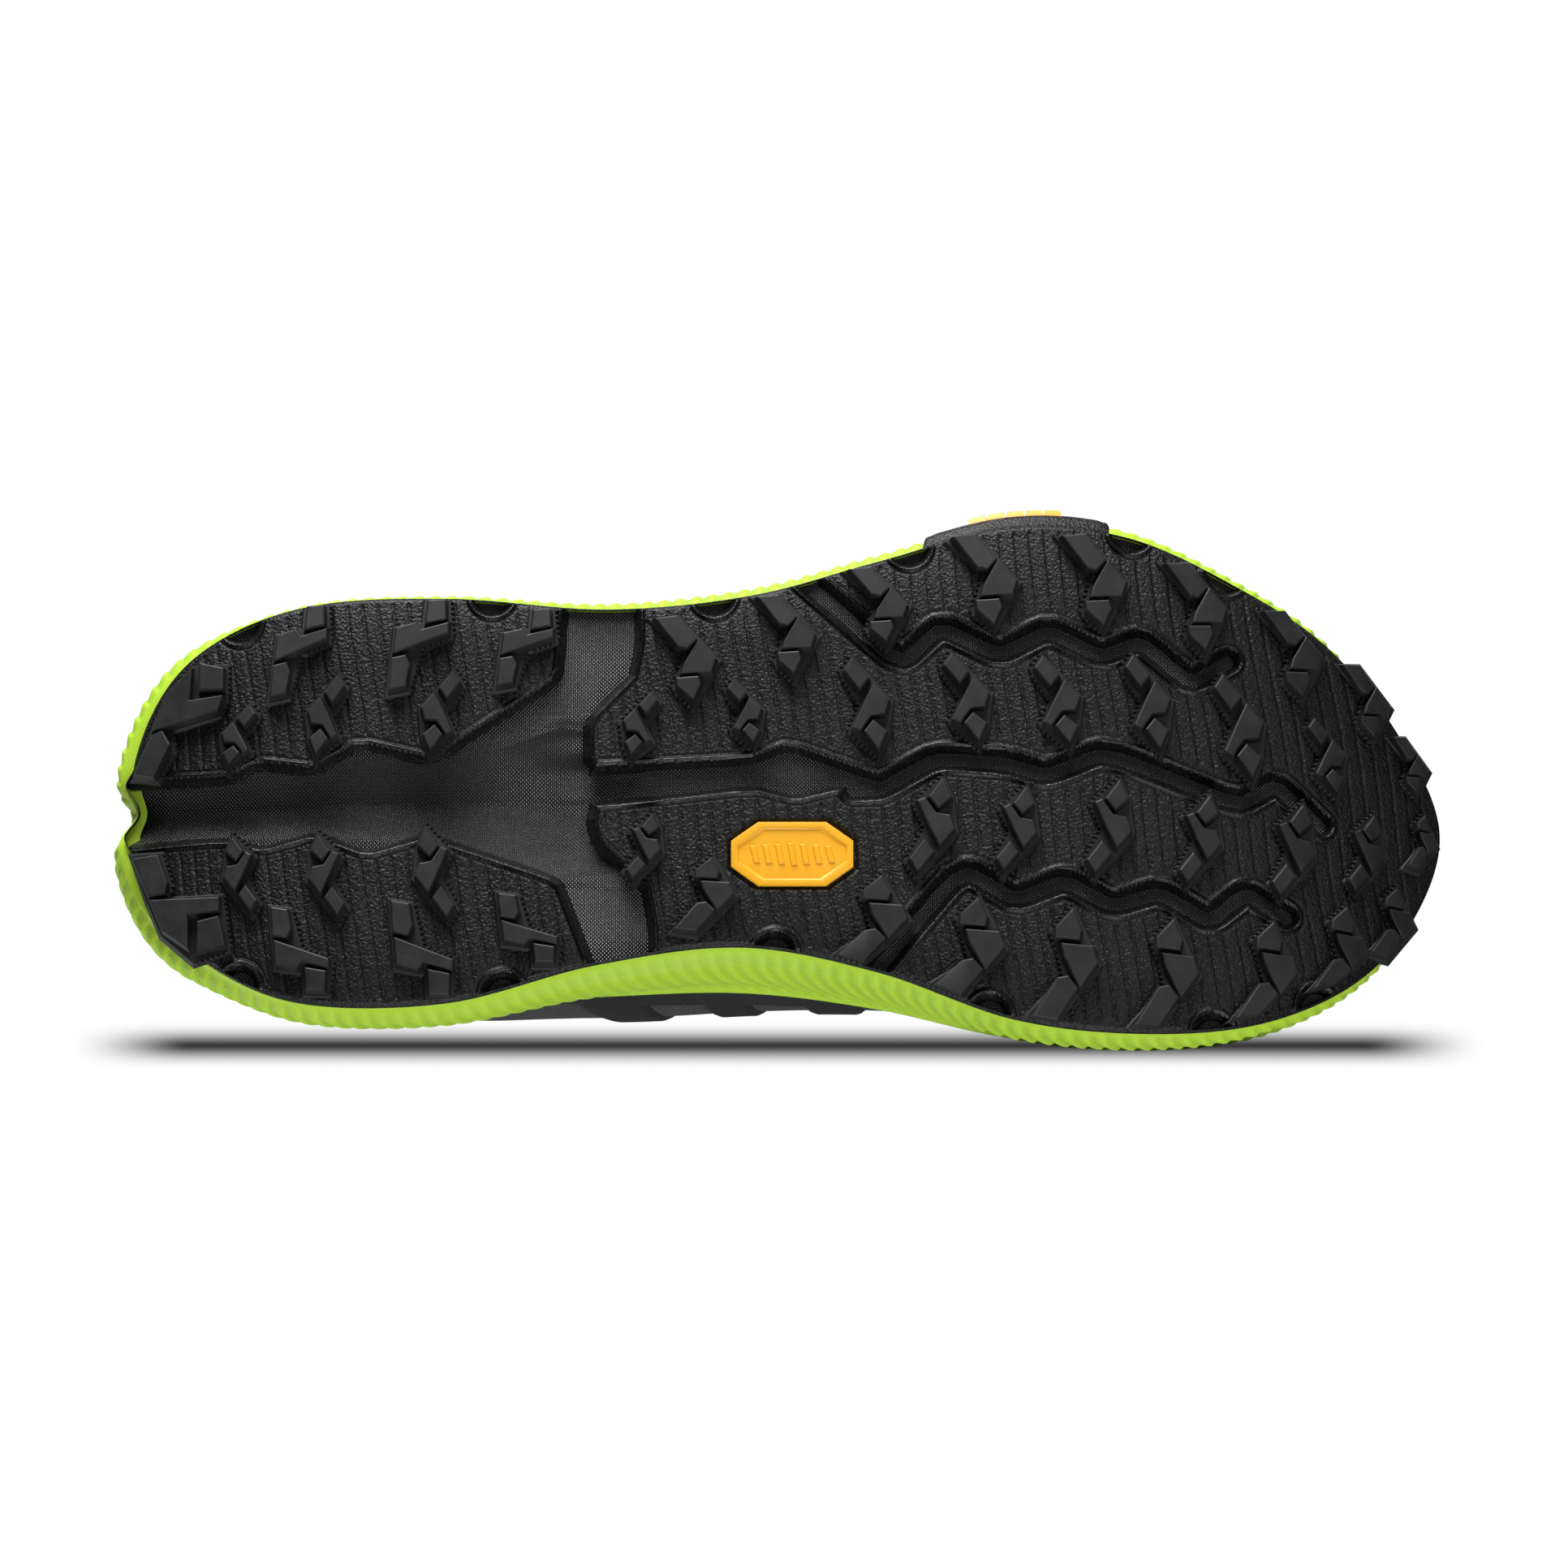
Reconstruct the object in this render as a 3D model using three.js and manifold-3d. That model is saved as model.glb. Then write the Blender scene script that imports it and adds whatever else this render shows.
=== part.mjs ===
// A right-foot trail running shoe, laced and standing on its tread.
// Millimetres. While modelling, X runs from the heel to the toe, +Y is the medial side and +Z is up;
// the finished group is moved so that its origin is the middle of the ground under it.
import * as THREE from 'three';
import { mergeVertices } from 'three/addons/utils/BufferGeometryUtils.js';
import Module from 'manifold-3d';

const wasm = await Module();
wasm.setup();

// ---------------------------------------------------------------- driving dimensions
// Outlines and tread are drawn for a sample size and graded to the size that is made.
const sample = { length: 298, width: 114 };
const size = { length: 298, width: 114 };

const fit = 0.3; // clearance between pieces that touch
const lugDepth = 4;
const rubber = 2; // outsole sheet
const carrier = 2.5; // black foam layer under the midsole
const heelLift = 11; // rise of the tread at the back of the heel
const toeLift = 30; // rise of the tread at the toe
const edgeLift = 2.4; // rounding of the tread's edge
const heelStack = 31; // footbed height under the heel
const foreStack = 24; // footbed height under the ball
const rimWrap = 9; // how far the foam stands up round the upper
const rimWall = 3.2;
const flare = 4; // outward bulge of the foam's side wall
const cleft = { depth: 5, width: 5, channel: 7 }; // split at the back of the heel
const groove = 5.6; // flex grooves in the forefoot rubber
const badge = { length: 27, width: 14.5, corner: 6, proud: 0.5, pocket: 0.9 };

const shell = 2; // upper fabric with its lining
const overlay = 1.2; // films and reinforcements on the upper
const stiffener = 1.2;
const board = 1.2;
const sockliner = 4;
const padding = { thick: 6.2, drop: 33, front: 86 };
const throat = { toe: 195, top: 100, narrow: 9.5, wide: 17 };
const eyestayWidth = 12;
const tongue = { thick: 5, gap: 1.6, toe: 206, top: 84, narrow: 18, wide: 24 };
const lace = { width: 5, thick: 2.2, gap: 0.9, rise: 3 };
const loop = { hole: 7, height: 3.8, wall: 0.9, length: 6, inset: 5.6 };
const laceRows = [186, 171, 156, 141, 126];
const eyelet = { x: 111, inset: 6.4, hole: 3.4, ring: 5.2, thick: 0.8, rise: 7 };
const pullTab = { width: 14, thick: 2.4, stitched: 13, free: 15 };

const gradeX = size.length / sample.length;
const gradeY = size.width / sample.width;
const graded = ([x, y]) => [x * gradeX, y * gradeY];

// ---------------------------------------------------------------- outlines in plan
// Lateral and medial points are drawn in pairs from the heel to the toe, at nearly the same x.
class Outline {
  constructor(heelX, toeX, lateral, medial) {
    const points = [[heelX, 0], ...lateral, [toeX, 0], ...medial.toReversed()];
    const round = points.map(graded).map(([x, y]) => new THREE.Vector3(x, y, 0));
    this.curve = new THREE.CatmullRomCurve3(round, true, 'catmullrom', 0.5);
    this.spans = lateral.length + 1;
  }

  // The point at share u of the way from heel to toe on one side, moved outwards by grow.
  at(u, side, grow = 0) {
    const t = (side < 0 ? u / 2 : 1 - u / 2) % 1;
    const p = this.curve.getPoint(t);
    const d = this.curve.getTangent(t);
    return new THREE.Vector3(p.x + d.y * grow, p.y - d.x * grow, 0);
  }

  polygon(grow = 0, perSpan = 2) {
    const count = this.spans * perSpan;
    const points = [];
    for (let i = 0; i < 2 * count; i++) {
      const u = i < count ? i / count : 2 - i / count;
      points.push(this.at(u, i < count ? -1 : 1, grow));
    }
    return points.map((p) => [p.x, p.y]);
  }

  // Heights are read at the middle of a section, so that both of its ends stand level.
  middle(u) {
    return (this.at(u, -1).x + this.at(u, 1).x) / 2;
  }

  // The share u whose section stands at x.
  shareAt(x) {
    let low = 0;
    let high = 1;
    for (let i = 0; i < 40; i++) {
      const mid = (low + high) / 2;
      if (this.middle(mid) < x) low = mid;
      else high = mid;
    }
    return low;
  }
}

const tread = new Outline(
  0, 298,
  [[5, -20], [18, -35], [42, -44.5], [75, -46.3], [110, -43.8], [142, -47], [170, -54.8],
    [200, -63], [226, -61.5], [250, -52], [272, -39.5], [289, -20.5]],
  [[5, 18], [18, 32.5], [42, 44.5], [75, 45], [108, 36.5], [140, 32.5], [170, 38],
    [200, 48.5], [228, 51.2], [254, 48], [276, 37.5], [291, 21]],
);
const last = new Outline(
  7, 291,
  [[11, -17], [22, -28.5], [44, -34.5], [75, -36.5], [110, -38.5], [142, -43.5], [170, -50],
    [200, -56.5], [226, -55], [249, -46.5], [268, -35.5], [283, -18.5]],
  [[11, 16], [22, 27.5], [44, 34], [75, 35.5], [108, 34], [140, 33.5], [170, 37.5],
    [200, 44.5], [228, 46.5], [252, 43], [271, 33.5], [284, 19]],
);

// Stations along the shoe, closer together where the outlines turn.
const stationsPerSpan = [3, 2, 1, 1, 1, 1, 1, 2, 2, 2, 2, 1, 3];
const stations = stationsPerSpan.flatMap((parts, i) => Array.from(
  { length: parts },
  (_, k) => (i + k / parts) / stationsPerSpan.length,
));
stations.push(1);

// ---------------------------------------------------------------- heights along the shoe
// A smooth curve through [x, height] pairs, with x at the sample size.
function profile(pairs) {
  const table = pairs.map(([x, z]) => [x * gradeX, z]);
  const slope = (i) => {
    const a = table[Math.max(i - 1, 0)];
    const b = table[Math.min(i + 1, table.length - 1)];
    return (b[1] - a[1]) / (b[0] - a[0]);
  };
  return (x) => {
    const at = Math.min(Math.max(x, table[0][0]), table.at(-1)[0]);
    let i = 0;
    while (i < table.length - 2 && table[i + 1][0] < at) i++;
    const width = table[i + 1][0] - table[i][0];
    const t = (at - table[i][0]) / width;
    const bend0 = slope(i) * width;
    const bend1 = slope(i + 1) * width;
    const t2 = t * t;
    const t3 = t2 * t;
    return table[i][1] * (2 * t3 - 3 * t2 + 1) + bend0 * (t3 - 2 * t2 + t)
      + table[i + 1][1] * (3 * t2 - 2 * t3) + bend1 * (t3 - t2);
  };
}

const heelBevel = 62 * gradeX; // the tread is flat from here
const toeSpring = 185 * gradeX; // to here
const bevelPower = 2;
const springPower = 2.5;
function rocker(x) {
  const heel = Math.max(0, 1 - x / heelBevel);
  const toe = Math.max(0, (x - toeSpring) / (size.length - toeSpring));
  return heelLift * heel ** bevelPower + toeLift * toe ** springPower;
}

const flatShare = 0.6; // the middle of the tread is flat across
function underside(x, share, level) {
  const edge = Math.max(0, (Math.abs(share) - flatShare) / (1 - flatShare));
  return rocker(x) + edgeLift * edge * edge + level;
}

// The channel that splits the heel and widens under the arch: [x, half width, share of its depth].
const channelAt = [[-12, 7, 1], [0, 7, 1], [30, 7, 1], [60, 8, 1], [82, 11, 0.95], [100, 17, 0.7],
  [114, 15, 0.3], [120, 9, 0]];

const footbed = profile([[0, heelStack + 2], [40, heelStack], [75, heelStack - 0.5],
  [120, heelStack - 2], [160, foreStack + 2.5], [200, foreStack], [230, foreStack + 1],
  [255, foreStack + 5.5], [275, foreStack + 13], [298, foreStack + 23]]);
const rim = (x) => footbed(x) + rimWrap;
const topline = profile([[7, 134], [22, 138], [44, 138], [75, 132], [110, 121], [142, 109],
  [170, 98], [200, 86], [228, 76], [250, 71], [270, 66.5], [283, 63], [291, 58]]);
const squareness = profile([[7, 3], [75, 2.6], [110, 2.3], [142, 2.1], [200, 2.1], [250, 2.3], [291, 2.4]]);
const collar = profile([[0, 106], [9, 104], [22, 97], [40, 86], [58, 80.5], [75, 84], [92, 94],
  [105, 105], [114, 113]]);
// How far the heel of the upper leans forwards at a height.
const heelCurveAt = [[0, 0], [47, 0], [63, -2.5], [88, 2.5], [106, 0.5], [130, -1]];
function heelCurve(x, z) {
  const fade = Math.max(0, 1 - x / (70 * gradeX)) ** 2;
  let i = 0;
  while (i < heelCurveAt.length - 2 && heelCurveAt[i + 1][0] < z) i++;
  const [z0, a] = heelCurveAt[i];
  const [z1, b] = heelCurveAt[i + 1];
  const t = Math.min(Math.max((z - z0) / (z1 - z0), 0), 1);
  return fade * (a + (b - a) * t * t * (3 - 2 * t));
}

// ---------------------------------------------------------------- solids
function asSolid(geometry) {
  geometry.deleteAttribute('normal');
  geometry.deleteAttribute('uv');
  const merged = mergeVertices(geometry, 1e-4);
  const index = merged.index.array;
  const kept = [];
  for (let i = 0; i < index.length; i += 3) {
    const [a, b, c] = index.subarray(i, i + 3);
    if (a !== b && b !== c && a !== c) kept.push(a, b, c);
  }
  const build = (triangles) => new wasm.Manifold(new wasm.Mesh({
    numProp: 3,
    vertProperties: new Float32Array(merged.attributes.position.array),
    triVerts: new Uint32Array(triangles),
  }));
  const made = build(kept);
  return made.volume() >= 0 ? made : build(kept.toReversed());
}

const largest = (solid) => solid.decompose().toSorted((a, b) => b.volume() - a.volume())[0];

// Closed rings of equal length, skinned in order. Rings at the ends shrink to a line or get a cap.
function loft(rings, capped = false) {
  const positions = rings.flat().flatMap((p) => [p.x, p.y, p.z]);
  const n = rings[0].length;
  const index = [];
  for (let r = 0; r + 1 < rings.length; r++) {
    for (let i = 0; i < n; i++) {
      const a = r * n + i;
      const b = r * n + ((i + 1) % n);
      index.push(a, b, a + n, b, b + n, a + n);
    }
  }
  if (capped) {
    const end = (rings.length - 1) * n;
    for (let i = 1; i + 1 < n; i++) {
      index.push(0, i + 1, i);
      index.push(end, end + i, end + i + 1);
    }
  }
  const geometry = new THREE.BufferGeometry();
  geometry.setAttribute('position', new THREE.Float32BufferAttribute(positions, 3));
  geometry.setIndex(index);
  return asSolid(geometry);
}

function extruded(points, depth, move) {
  const shape = new THREE.Shape(points.map(([a, b]) => new THREE.Vector2(a, b)));
  const geometry = new THREE.ExtrudeGeometry(shape, { depth, bevelEnabled: false, steps: 1 });
  return asSolid(geometry.applyMatrix4(move));
}

// A prism of a plan outline, from low to high.
function standing(points, low = -50, high = 300) {
  return extruded(points, high - low, new THREE.Matrix4().makeTranslation(0, 0, low));
}

// A prism of a side-view outline, of [x, z] points, from y = right to y = left.
function sideways(points, right = -150, left = 150) {
  const turn = new THREE.Matrix4().makeRotationX(Math.PI / 2);
  turn.premultiply(new THREE.Matrix4().makeTranslation(0, left, 0));
  return extruded(points, left - right, turn);
}

// A layer with the plan of an outline, between two heights. A height is given by the x of the
// section's middle, the share across and the point.
function sheet(outline, grow, low, high, shares) {
  const rings = stations.map((u) => {
    const a = outline.at(u, -1, grow);
    const b = outline.at(u, 1, grow);
    const x = outline.middle(u);
    const raise = (height) => shares.map((s) => {
      const p = a.clone().lerp(b, (s + 1) / 2);
      return p.setZ(height(x, s, p));
    });
    return [...raise(low), ...raise(high).toReversed()];
  });
  return loft(rings);
}

// Every surface of the tread is the same sheet at another level, so the gaps between them are even.
const treadShares = [-1, -0.8, -flatShare, flatShare, 0.8, 1];
const treadMargin = 8;
const between = (low, high) => sheet(tread, treadMargin, (x, s, p) => underside(p.x, s, low),
  (x, s, p) => underside(p.x, s, high), treadShares);

// ---------------------------------------------------------------- sole body
const soleLevel = lugDepth + rubber + fit; // underside of the black foam layer
const soleFoot = 1; // the wall is drawn down to this level and cut off above it

// The foam's side wall: from the tread's outline, out over the flare and in to the upper.
function wallPoint(u, side, w, grow) {
  const foot = tread.at(u, side);
  const out = tread.at(u, side, 1).sub(foot);
  const top = last.at(u, side, fit + rimWall);
  const outwards = flare * (1 - 0.75 * out.x * out.x); // less at the tips than at the sides
  const bulge = outwards * Math.sin(Math.PI * Math.min(1, w * 1.15)) + grow;
  const atHeel = u < 0.5 ? Math.exp(-((foot.y / cleft.width) ** 2)) : 0;
  const p = foot.clone().lerp(top, w ** 1.6).addScaledVector(out, bulge - cleft.depth * atHeel * (1 - w ** 3));
  const low = underside(tread.middle(u), 1, soleFoot);
  p.z = low + (rim(last.middle(u)) + grow - low) * w;
  return p;
}

function soleBody(grow = 0) {
  const steps = [0, 0.25, 0.5, 0.75, 1];
  const rings = stations.map((u) => {
    const x = last.middle(u);
    const wall = (side) => steps.map((w) => wallPoint(u, side, w, grow));
    const recess = (side) => [rim(x) + grow, footbed(x)].map((z) => last.at(u, side, fit).setZ(z));
    return [...wall(1), ...recess(1), ...recess(-1).toReversed(), ...wall(-1).toReversed()];
  });
  return loft(rings);
}

// The space of the channel, with its width and depth grown.
function channelSpace(grow) {
  const rings = channelAt.map(([x, half, share]) => {
    const floor = underside(Math.max(0, x), 0, soleLevel);
    const h = half * gradeY + grow;
    const top = floor + cleft.channel * share + grow;
    const points = [[-h - 1, floor - 12], [h + 1, floor - 12], [h, floor], [h * 0.6, floor + (top - floor) * 0.8],
      [0, top], [-h * 0.6, floor + (top - floor) * 0.8], [-h, floor]];
    return points.map(([y, z]) => new THREE.Vector3(x * gradeX, y, z));
  });
  return loft(rings, true);
}

// ---------------------------------------------------------------- tread
// Lug plans: f towards the toe, s towards the edge. Side lugs, inner lugs and heel lugs.
const lugPlan = {
  side: [[-6.9, 9.7], [-1.8, 10.3], [6.9, -0.2], [1.8, -10.4], [-2.2, -6.5], [-0.8, -2.5], [0.4, 2]],
  inner: [[-3.1, 11.2], [5.2, 0.9], [4.4, -6.8], [2.7, -11.4], [-3.1, -5.8], [-0.6, 0.2], [-5, 8]],
  heel: [[1.6, 11.1], [6, 11.2], [6.7, 2.9], [-0.2, 0], [-2.6, -10.2], [-6.5, -11], [-5.1, 4.1], [1.2, 5.3]],
};

// [plan, x, y, stretch along, stretch across]; a negative stretch turns the plan round.
const foreLugs = [
  ['side', 127.6, -31.5, 1, -0.95], ['side', 150, -37, 0.95, -0.9], ['side', 170.5, -43.9, 0.95, -0.85],
  ['side', 194.3, -49.8, 1.05, -1.05], ['side', 218.8, -50, 1.05, -1.05], ['side', 241.8, -45, 1, -1],
  ['side', 264, -36, 1, -0.95], ['side', 281, -27, 0.8, -0.8], ['side', 291.2, -13.5, 0.6, -0.6],
  ['inner', 117.8, -16.5, -0.75, -0.65], ['inner', 140.7, -19.2, 0.75, -0.65],
  ['inner', 167.7, -21, 1, -0.95], ['inner', 189.8, -22.6, 1, -0.9], ['inner', 210, -22.1, 1, -0.9],
  ['inner', 230.2, -22.3, 1, -0.95], ['inner', 250.8, -18, 1.1, -1.05], ['inner', 271, -13, 0.85, -0.75],
  ['inner', 118.6, 11.5, 0.75, 0.65], ['side', 132, 22.2, 0.95, 0.8], ['inner', 181.9, 6.6, 1, 0.95],
  ['inner', 200.5, 7.4, 0.9, 0.85], ['inner', 221, 6.6, 1, 0.95], ['inner', 241.3, 8.6, 0.95, 0.9],
  ['inner', 262.5, 9.6, 1, 0.95], ['inner', 279.6, 8.6, 0.85, 0.8],
  ['side', 169, 27.8, 1.1, 0.95], ['side', 190.2, 34.2, 1.1, 1.1], ['side', 211, 37.6, 1.05, 1.2],
  ['side', 233.3, 39.2, 1.05, 1.2], ['side', 255.8, 37.6, 1.05, 1.1], ['side', 273, 31.2, 0.95, 0.95],
  ['side', 285.5, 23.5, 0.75, 0.75], ['side', 293.3, 4, 0.5, 0.6],
];
const lateralHeelLugs = [
  ['heel', 41.6, -33.4, 0.95, -0.95], ['heel', 68.4, -34.6, 1, -0.95], ['heel', 92, -34, 0.95, -0.8],
  ['inner', 28.6, -14.6, -0.75, -0.6], ['inner', 48.2, -18.6, -0.8, -0.8], ['inner', 73.6, -19.4, -0.85, -0.82],
];
const medialHeelLugs = [
  ['heel', 43.4, 34, 1, 0.85], ['heel', 70.2, 34, 1.05, 0.95], ['heel', 93.3, 29.6, 1, 0.7],
  ['inner', 30, 17, -0.75, 0.75], ['inner', 49.2, 17.8, -0.8, 0.82], ['inner', 73, 17.4, -0.85, 0.9],
];
// The corner blocks of the heel are drawn in place.
const lateralCorner = [
  [[8.8, -25.3], [14.2, -30.9], [21.5, -30.9], [21.5, -23.6], [20.3, -20.4], [5.5, -16.8]],
  [[5.3, -15.7], [9, -16.2], [9.8, -12.6], [6.5, -6.6], [2.1, -7.4]],
];
const medialCorner = [
  [[2.2, 11.4], [7.7, 11.4], [10, 17.9], [9.6, 20.4], [5.6, 20.6]],
  [[6.1, 21.7], [21.9, 21.7], [23.7, 33.2], [16.4, 35.2], [9.2, 28.9]],
];

function treadLevel(x, y, level) {
  const u = tread.shareAt(x);
  const a = tread.at(u, -1, treadMargin).y;
  const b = tread.at(u, 1, treadMargin).y;
  return underside(x, (2 * y - a - b) / (b - a), level);
}

// A block that stands on the rubber, with its face parallel to the tread at the block's middle.
function treadBlock(points, low = 0, high = lugDepth + rubber / 2) {
  const x = points.reduce((sum, p) => sum + p[0], 0) / points.length;
  const y = points.reduce((sum, p) => sum + p[1], 0) / points.length;
  const slopeX = (treadLevel(x + 2, y, 0) - treadLevel(x - 2, y, 0)) / 4;
  const slopeY = (treadLevel(x, y + 2, 0) - treadLevel(x, y - 2, 0)) / 4;
  const lift = treadLevel(x, y, low) - slopeX * x - slopeY * y;
  const tilt = new THREE.Matrix4().set(1, 0, 0, 0, 0, 1, 0, 0, slopeX, slopeY, 1, lift, 0, 0, 0, 1);
  return extruded(points, high - low, tilt);
}

function lugBlock([plan, x, y, along, side]) {
  const [cx, cy] = graded([x, y]);
  const points = lugPlan[plan].map(([f, s]) => [cx + f * along, cy + s * side]);
  return treadBlock(points);
}

// A strip of constant width along a run of points.
function ribbon(points, width) {
  const path = points.map(graded).map(([x, y]) => new THREE.Vector2(x, y));
  const offset = (i, half) => {
    const before = path[i].clone().sub(path[Math.max(i - 1, 0)]);
    const after = path[Math.min(i + 1, path.length - 1)].clone().sub(path[i]);
    const a = (before.length() ? before : after).normalize();
    const b = (after.length() ? after : before).normalize();
    const mid = a.clone().add(b).normalize();
    const reach = half / Math.max(0.5, mid.dot(b));
    return [path[i].x - mid.y * reach, path[i].y + mid.x * reach];
  };
  const left = path.map((_, i) => offset(i, width / 2));
  const right = path.map((_, i) => offset(i, -width / 2));
  return standing([...left, ...right.toReversed()]);
}

const lateralGroove = [[150, -56], [154.5, -50.5], [175.5, -31.5], [184.5, -40], [197.5, -33.6],
  [208.5, -39.4], [220.3, -33.7], [229.3, -37.5], [240.5, -28.4], [249, -33.8]];
const medialGroove = [[167, 42], [171, 36.5], [186.5, 18], [190.5, 16.3], [200.5, 22.2], [211.5, 17.8],
  [222, 23.4], [232.5, 19.9], [243.5, 26], [252, 19], [261, 24]];
const centreGroove = [[170.8, -2.8], [183.2, -9.8], [198.7, -8.7], [207.6, -6], [220.7, -11.6],
  [250.7, -0.9], [259.5, -6.4], [269.5, 2.2]];
// The centre groove's wide back part, to the arch.
const centreMouth = [[100, -7.6], [107.9, -7.8], [141.5, -9.5], [150.6, -12.9], [170.8, -5.6], [175, -7],
  [173, -1], [170.8, 0], [161.7, -2.4], [152, 0], [142.8, -2.4], [109, 1.5], [100, 1.5]];
const foreRegion = [[117.4, -80], [117.4, -29.6], [106.4, -18.1], [106.4, -9.5], [108, -8], [108, 2],
  [107.2, 4.5], [108.3, 9.3], [120.7, 21.4], [121.7, 80], [320, 80], [320, -80]];
const lateralHeelRegion = [[-20, -7.2], [25.9, -6.2], [32.6, -9.4], [45.2, -7.6], [55.4, -13.3],
  [71.6, -9.6], [98, -27.3], [99.4, -30], [101.8, -80], [-20, -80]];
const medialHeelRegion = [[-20, 9.2], [27.6, 8.6], [34.1, 11], [46, 8], [57.6, 12.5], [70.8, 8.6],
  [98, 17.8], [100, 19.4], [108, 40], [108, 80], [-20, 80]];
const notches = { lateral: [28.4, 84, 133, 178, 228, 250], medial: [30.4, 88, 148.5, 195, 242, 265] };
const notch = { half: 4.6, depth: 3.6 };

function notchPrism(x, side) {
  const u = tread.shareAt(x * gradeX);
  const foot = tread.at(u, side);
  const out = tread.at(u, side, 1).sub(foot);
  const along = new THREE.Vector3(-out.y, out.x, 0);
  const corner = (a, b) => {
    const p = foot.clone().addScaledVector(along, a).addScaledVector(out, b);
    return [p.x, p.y];
  };
  return standing([corner(-notch.half, 0.6), corner(-1, -notch.depth), corner(1, -notch.depth),
    corner(notch.half, 0.6), corner(notch.half, 9), corner(-notch.half, 9)]);
}

const allNotches = [
  ...notches.lateral.map((x) => notchPrism(x, -1)),
  ...notches.medial.map((x) => notchPrism(x, 1)),
];
const rubberSheet = between(lugDepth, lugDepth + rubber);
const treadPlan = standing(tread.polygon(), 0); // nothing reaches below the ground

function pod(region, cuts, lugs, corners = []) {
  let plan = standing(region.map(graded)).intersect(treadPlan);
  for (const cut of [...cuts, ...allNotches]) plan = plan.subtract(cut);
  const blocks = [...lugs.map(lugBlock), ...corners.map((c) => treadBlock(c.map(graded)))];
  return blocks.reduce((whole, block) => whole.add(block.intersect(treadPlan)), rubberSheet.intersect(plan));
}

// Rubber that turns up over the lateral side wall, and the emblem on it.
const wrap = { from: 181, to: 224, slope: 6, height: 17, wall: 1.7 };
const emblem = { from: 192, to: 213, slope: 2, low: 10, high: 4, thick: 1 };
const aboveTread = between(lugDepth, 100);
function sideBand(inner, outer, points) {
  const ring = soleBody(outer).subtract(soleBody(inner)).subtract(treadPlan).intersect(aboveTread);
  return largest(ring.intersect(sideways(points.map(([x, z]) => [x * gradeX, z]), -150, 0)));
}
const wrapTop = lugDepth + rubber + wrap.height;
const sideWrap = sideBand(fit, fit + wrap.wall, [[wrap.from, 0], [wrap.to, 0],
  [wrap.to - wrap.slope, wrapTop], [wrap.from + wrap.slope, wrapTop]]);
const box = (x0, x1, y0, y1) => standing([[x0, y0], [x1, y0], [x1, y1], [x0, y1]]);
const wrapEdge = rubberSheet.intersect(box(wrap.from * gradeX, wrap.to * gradeX, -size.width, 0))
  .intersect(standing(tread.polygon(2 + wrap.wall)).subtract(standing(tread.polygon(-wrap.wall))));
const sideEmblem = sideBand(2 * fit + wrap.wall, 2 * fit + wrap.wall + emblem.thick, [
  [emblem.from, wrapTop - emblem.low], [emblem.to, wrapTop - emblem.low],
  [emblem.to - emblem.slope, wrapTop - emblem.high], [emblem.from + emblem.slope, wrapTop - emblem.high],
]);

function octagon(cx, cy, grow = 0) {
  const a = badge.length / 2 + grow;
  const b = badge.width / 2 + grow;
  const c = badge.corner;
  const d = badge.corner * 0.72;
  return [[cx - a, cy - b + d], [cx - a + c, cy - b], [cx + a - c, cy - b], [cx + a, cy - b + d],
    [cx + a, cy + b - d], [cx + a - c, cy + b], [cx - a + c, cy + b], [cx - a, cy + b - d]];
}
const [badgeX, badgeY] = graded([151.3, 12.4]);
const badgeFloor = underside(badgeX, 0, lugDepth);
const soleBadge = standing(octagon(badgeX, badgeY), badgeFloor - badge.proud,
  badgeFloor + badge.pocket - fit);
const badgePocket = standing(octagon(badgeX, badgeY, fit), 0, badgeFloor + badge.pocket);

const grooves = {
  lateral: ribbon(lateralGroove, groove),
  medial: ribbon(medialGroove, groove),
  centre: ribbon(centreGroove, groove),
  mouth: standing(centreMouth.map(graded)),
};

const body = soleBody();
const midsoleCarrier = between(soleLevel, soleLevel + carrier).add(channelSpace(carrier))
  .subtract(between(-40, soleLevel)).subtract(channelSpace(0)).intersect(body);
const midsoleFoam = body.subtract(between(-40, soleLevel + carrier + fit))
  .subtract(channelSpace(carrier + fit));

// ---------------------------------------------------------------- upper
// A section of the upper: an arch over the footbed, moved inwards by depth.
function archAt(u, depth) {
  const a = last.at(u, -1, -depth);
  const b = last.at(u, 1, -depth);
  const centre = a.clone().add(b).multiplyScalar(0.5);
  const half = b.sub(a).multiplyScalar(0.5);
  const x = last.middle(u);
  return { centre, half, base: footbed(x) + fit, top: topline(x) - depth, power: squareness(x) };
}

function upperSolid(depth, sink = 0) {
  const steps = 12;
  const rings = stations.map((u) => {
    const { centre, half, base, top, power } = archAt(u, depth);
    const arch = [];
    for (let i = 0; i <= steps; i++) {
      const t = Math.PI * i / steps;
      const c = Math.cos(t);
      const side = -Math.sign(c) * Math.abs(c) ** (2 / power);
      const p = centre.clone().addScaledVector(half, i === steps ? 1 : side);
      p.z = base + (top - base) * (i === steps ? 0 : Math.sin(t) ** (2 / power));
      arch.push(p);
    }
    const floor = [arch.at(-1).clone(), arch[0].clone()];
    floor.forEach((p) => { p.z = base - sink; });
    for (const p of arch) p.x += heelCurve(p.x, p.z);
    return sink ? [...arch, ...floor] : arch;
  });
  return loft(rings);
}

// The height of the upper at x, y, moved inwards by depth.
function skinHeight(x, y, depth) {
  const { centre, half, base, top, power } = archAt(last.shareAt(x), depth);
  const share = Math.min(1, Math.abs(y - centre.y) / Math.abs(half.y));
  return base + (top - base) * (1 - share ** power) ** (1 / power);
}
const ridge = (x) => archAt(last.shareAt(x), 0).centre.y;

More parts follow.
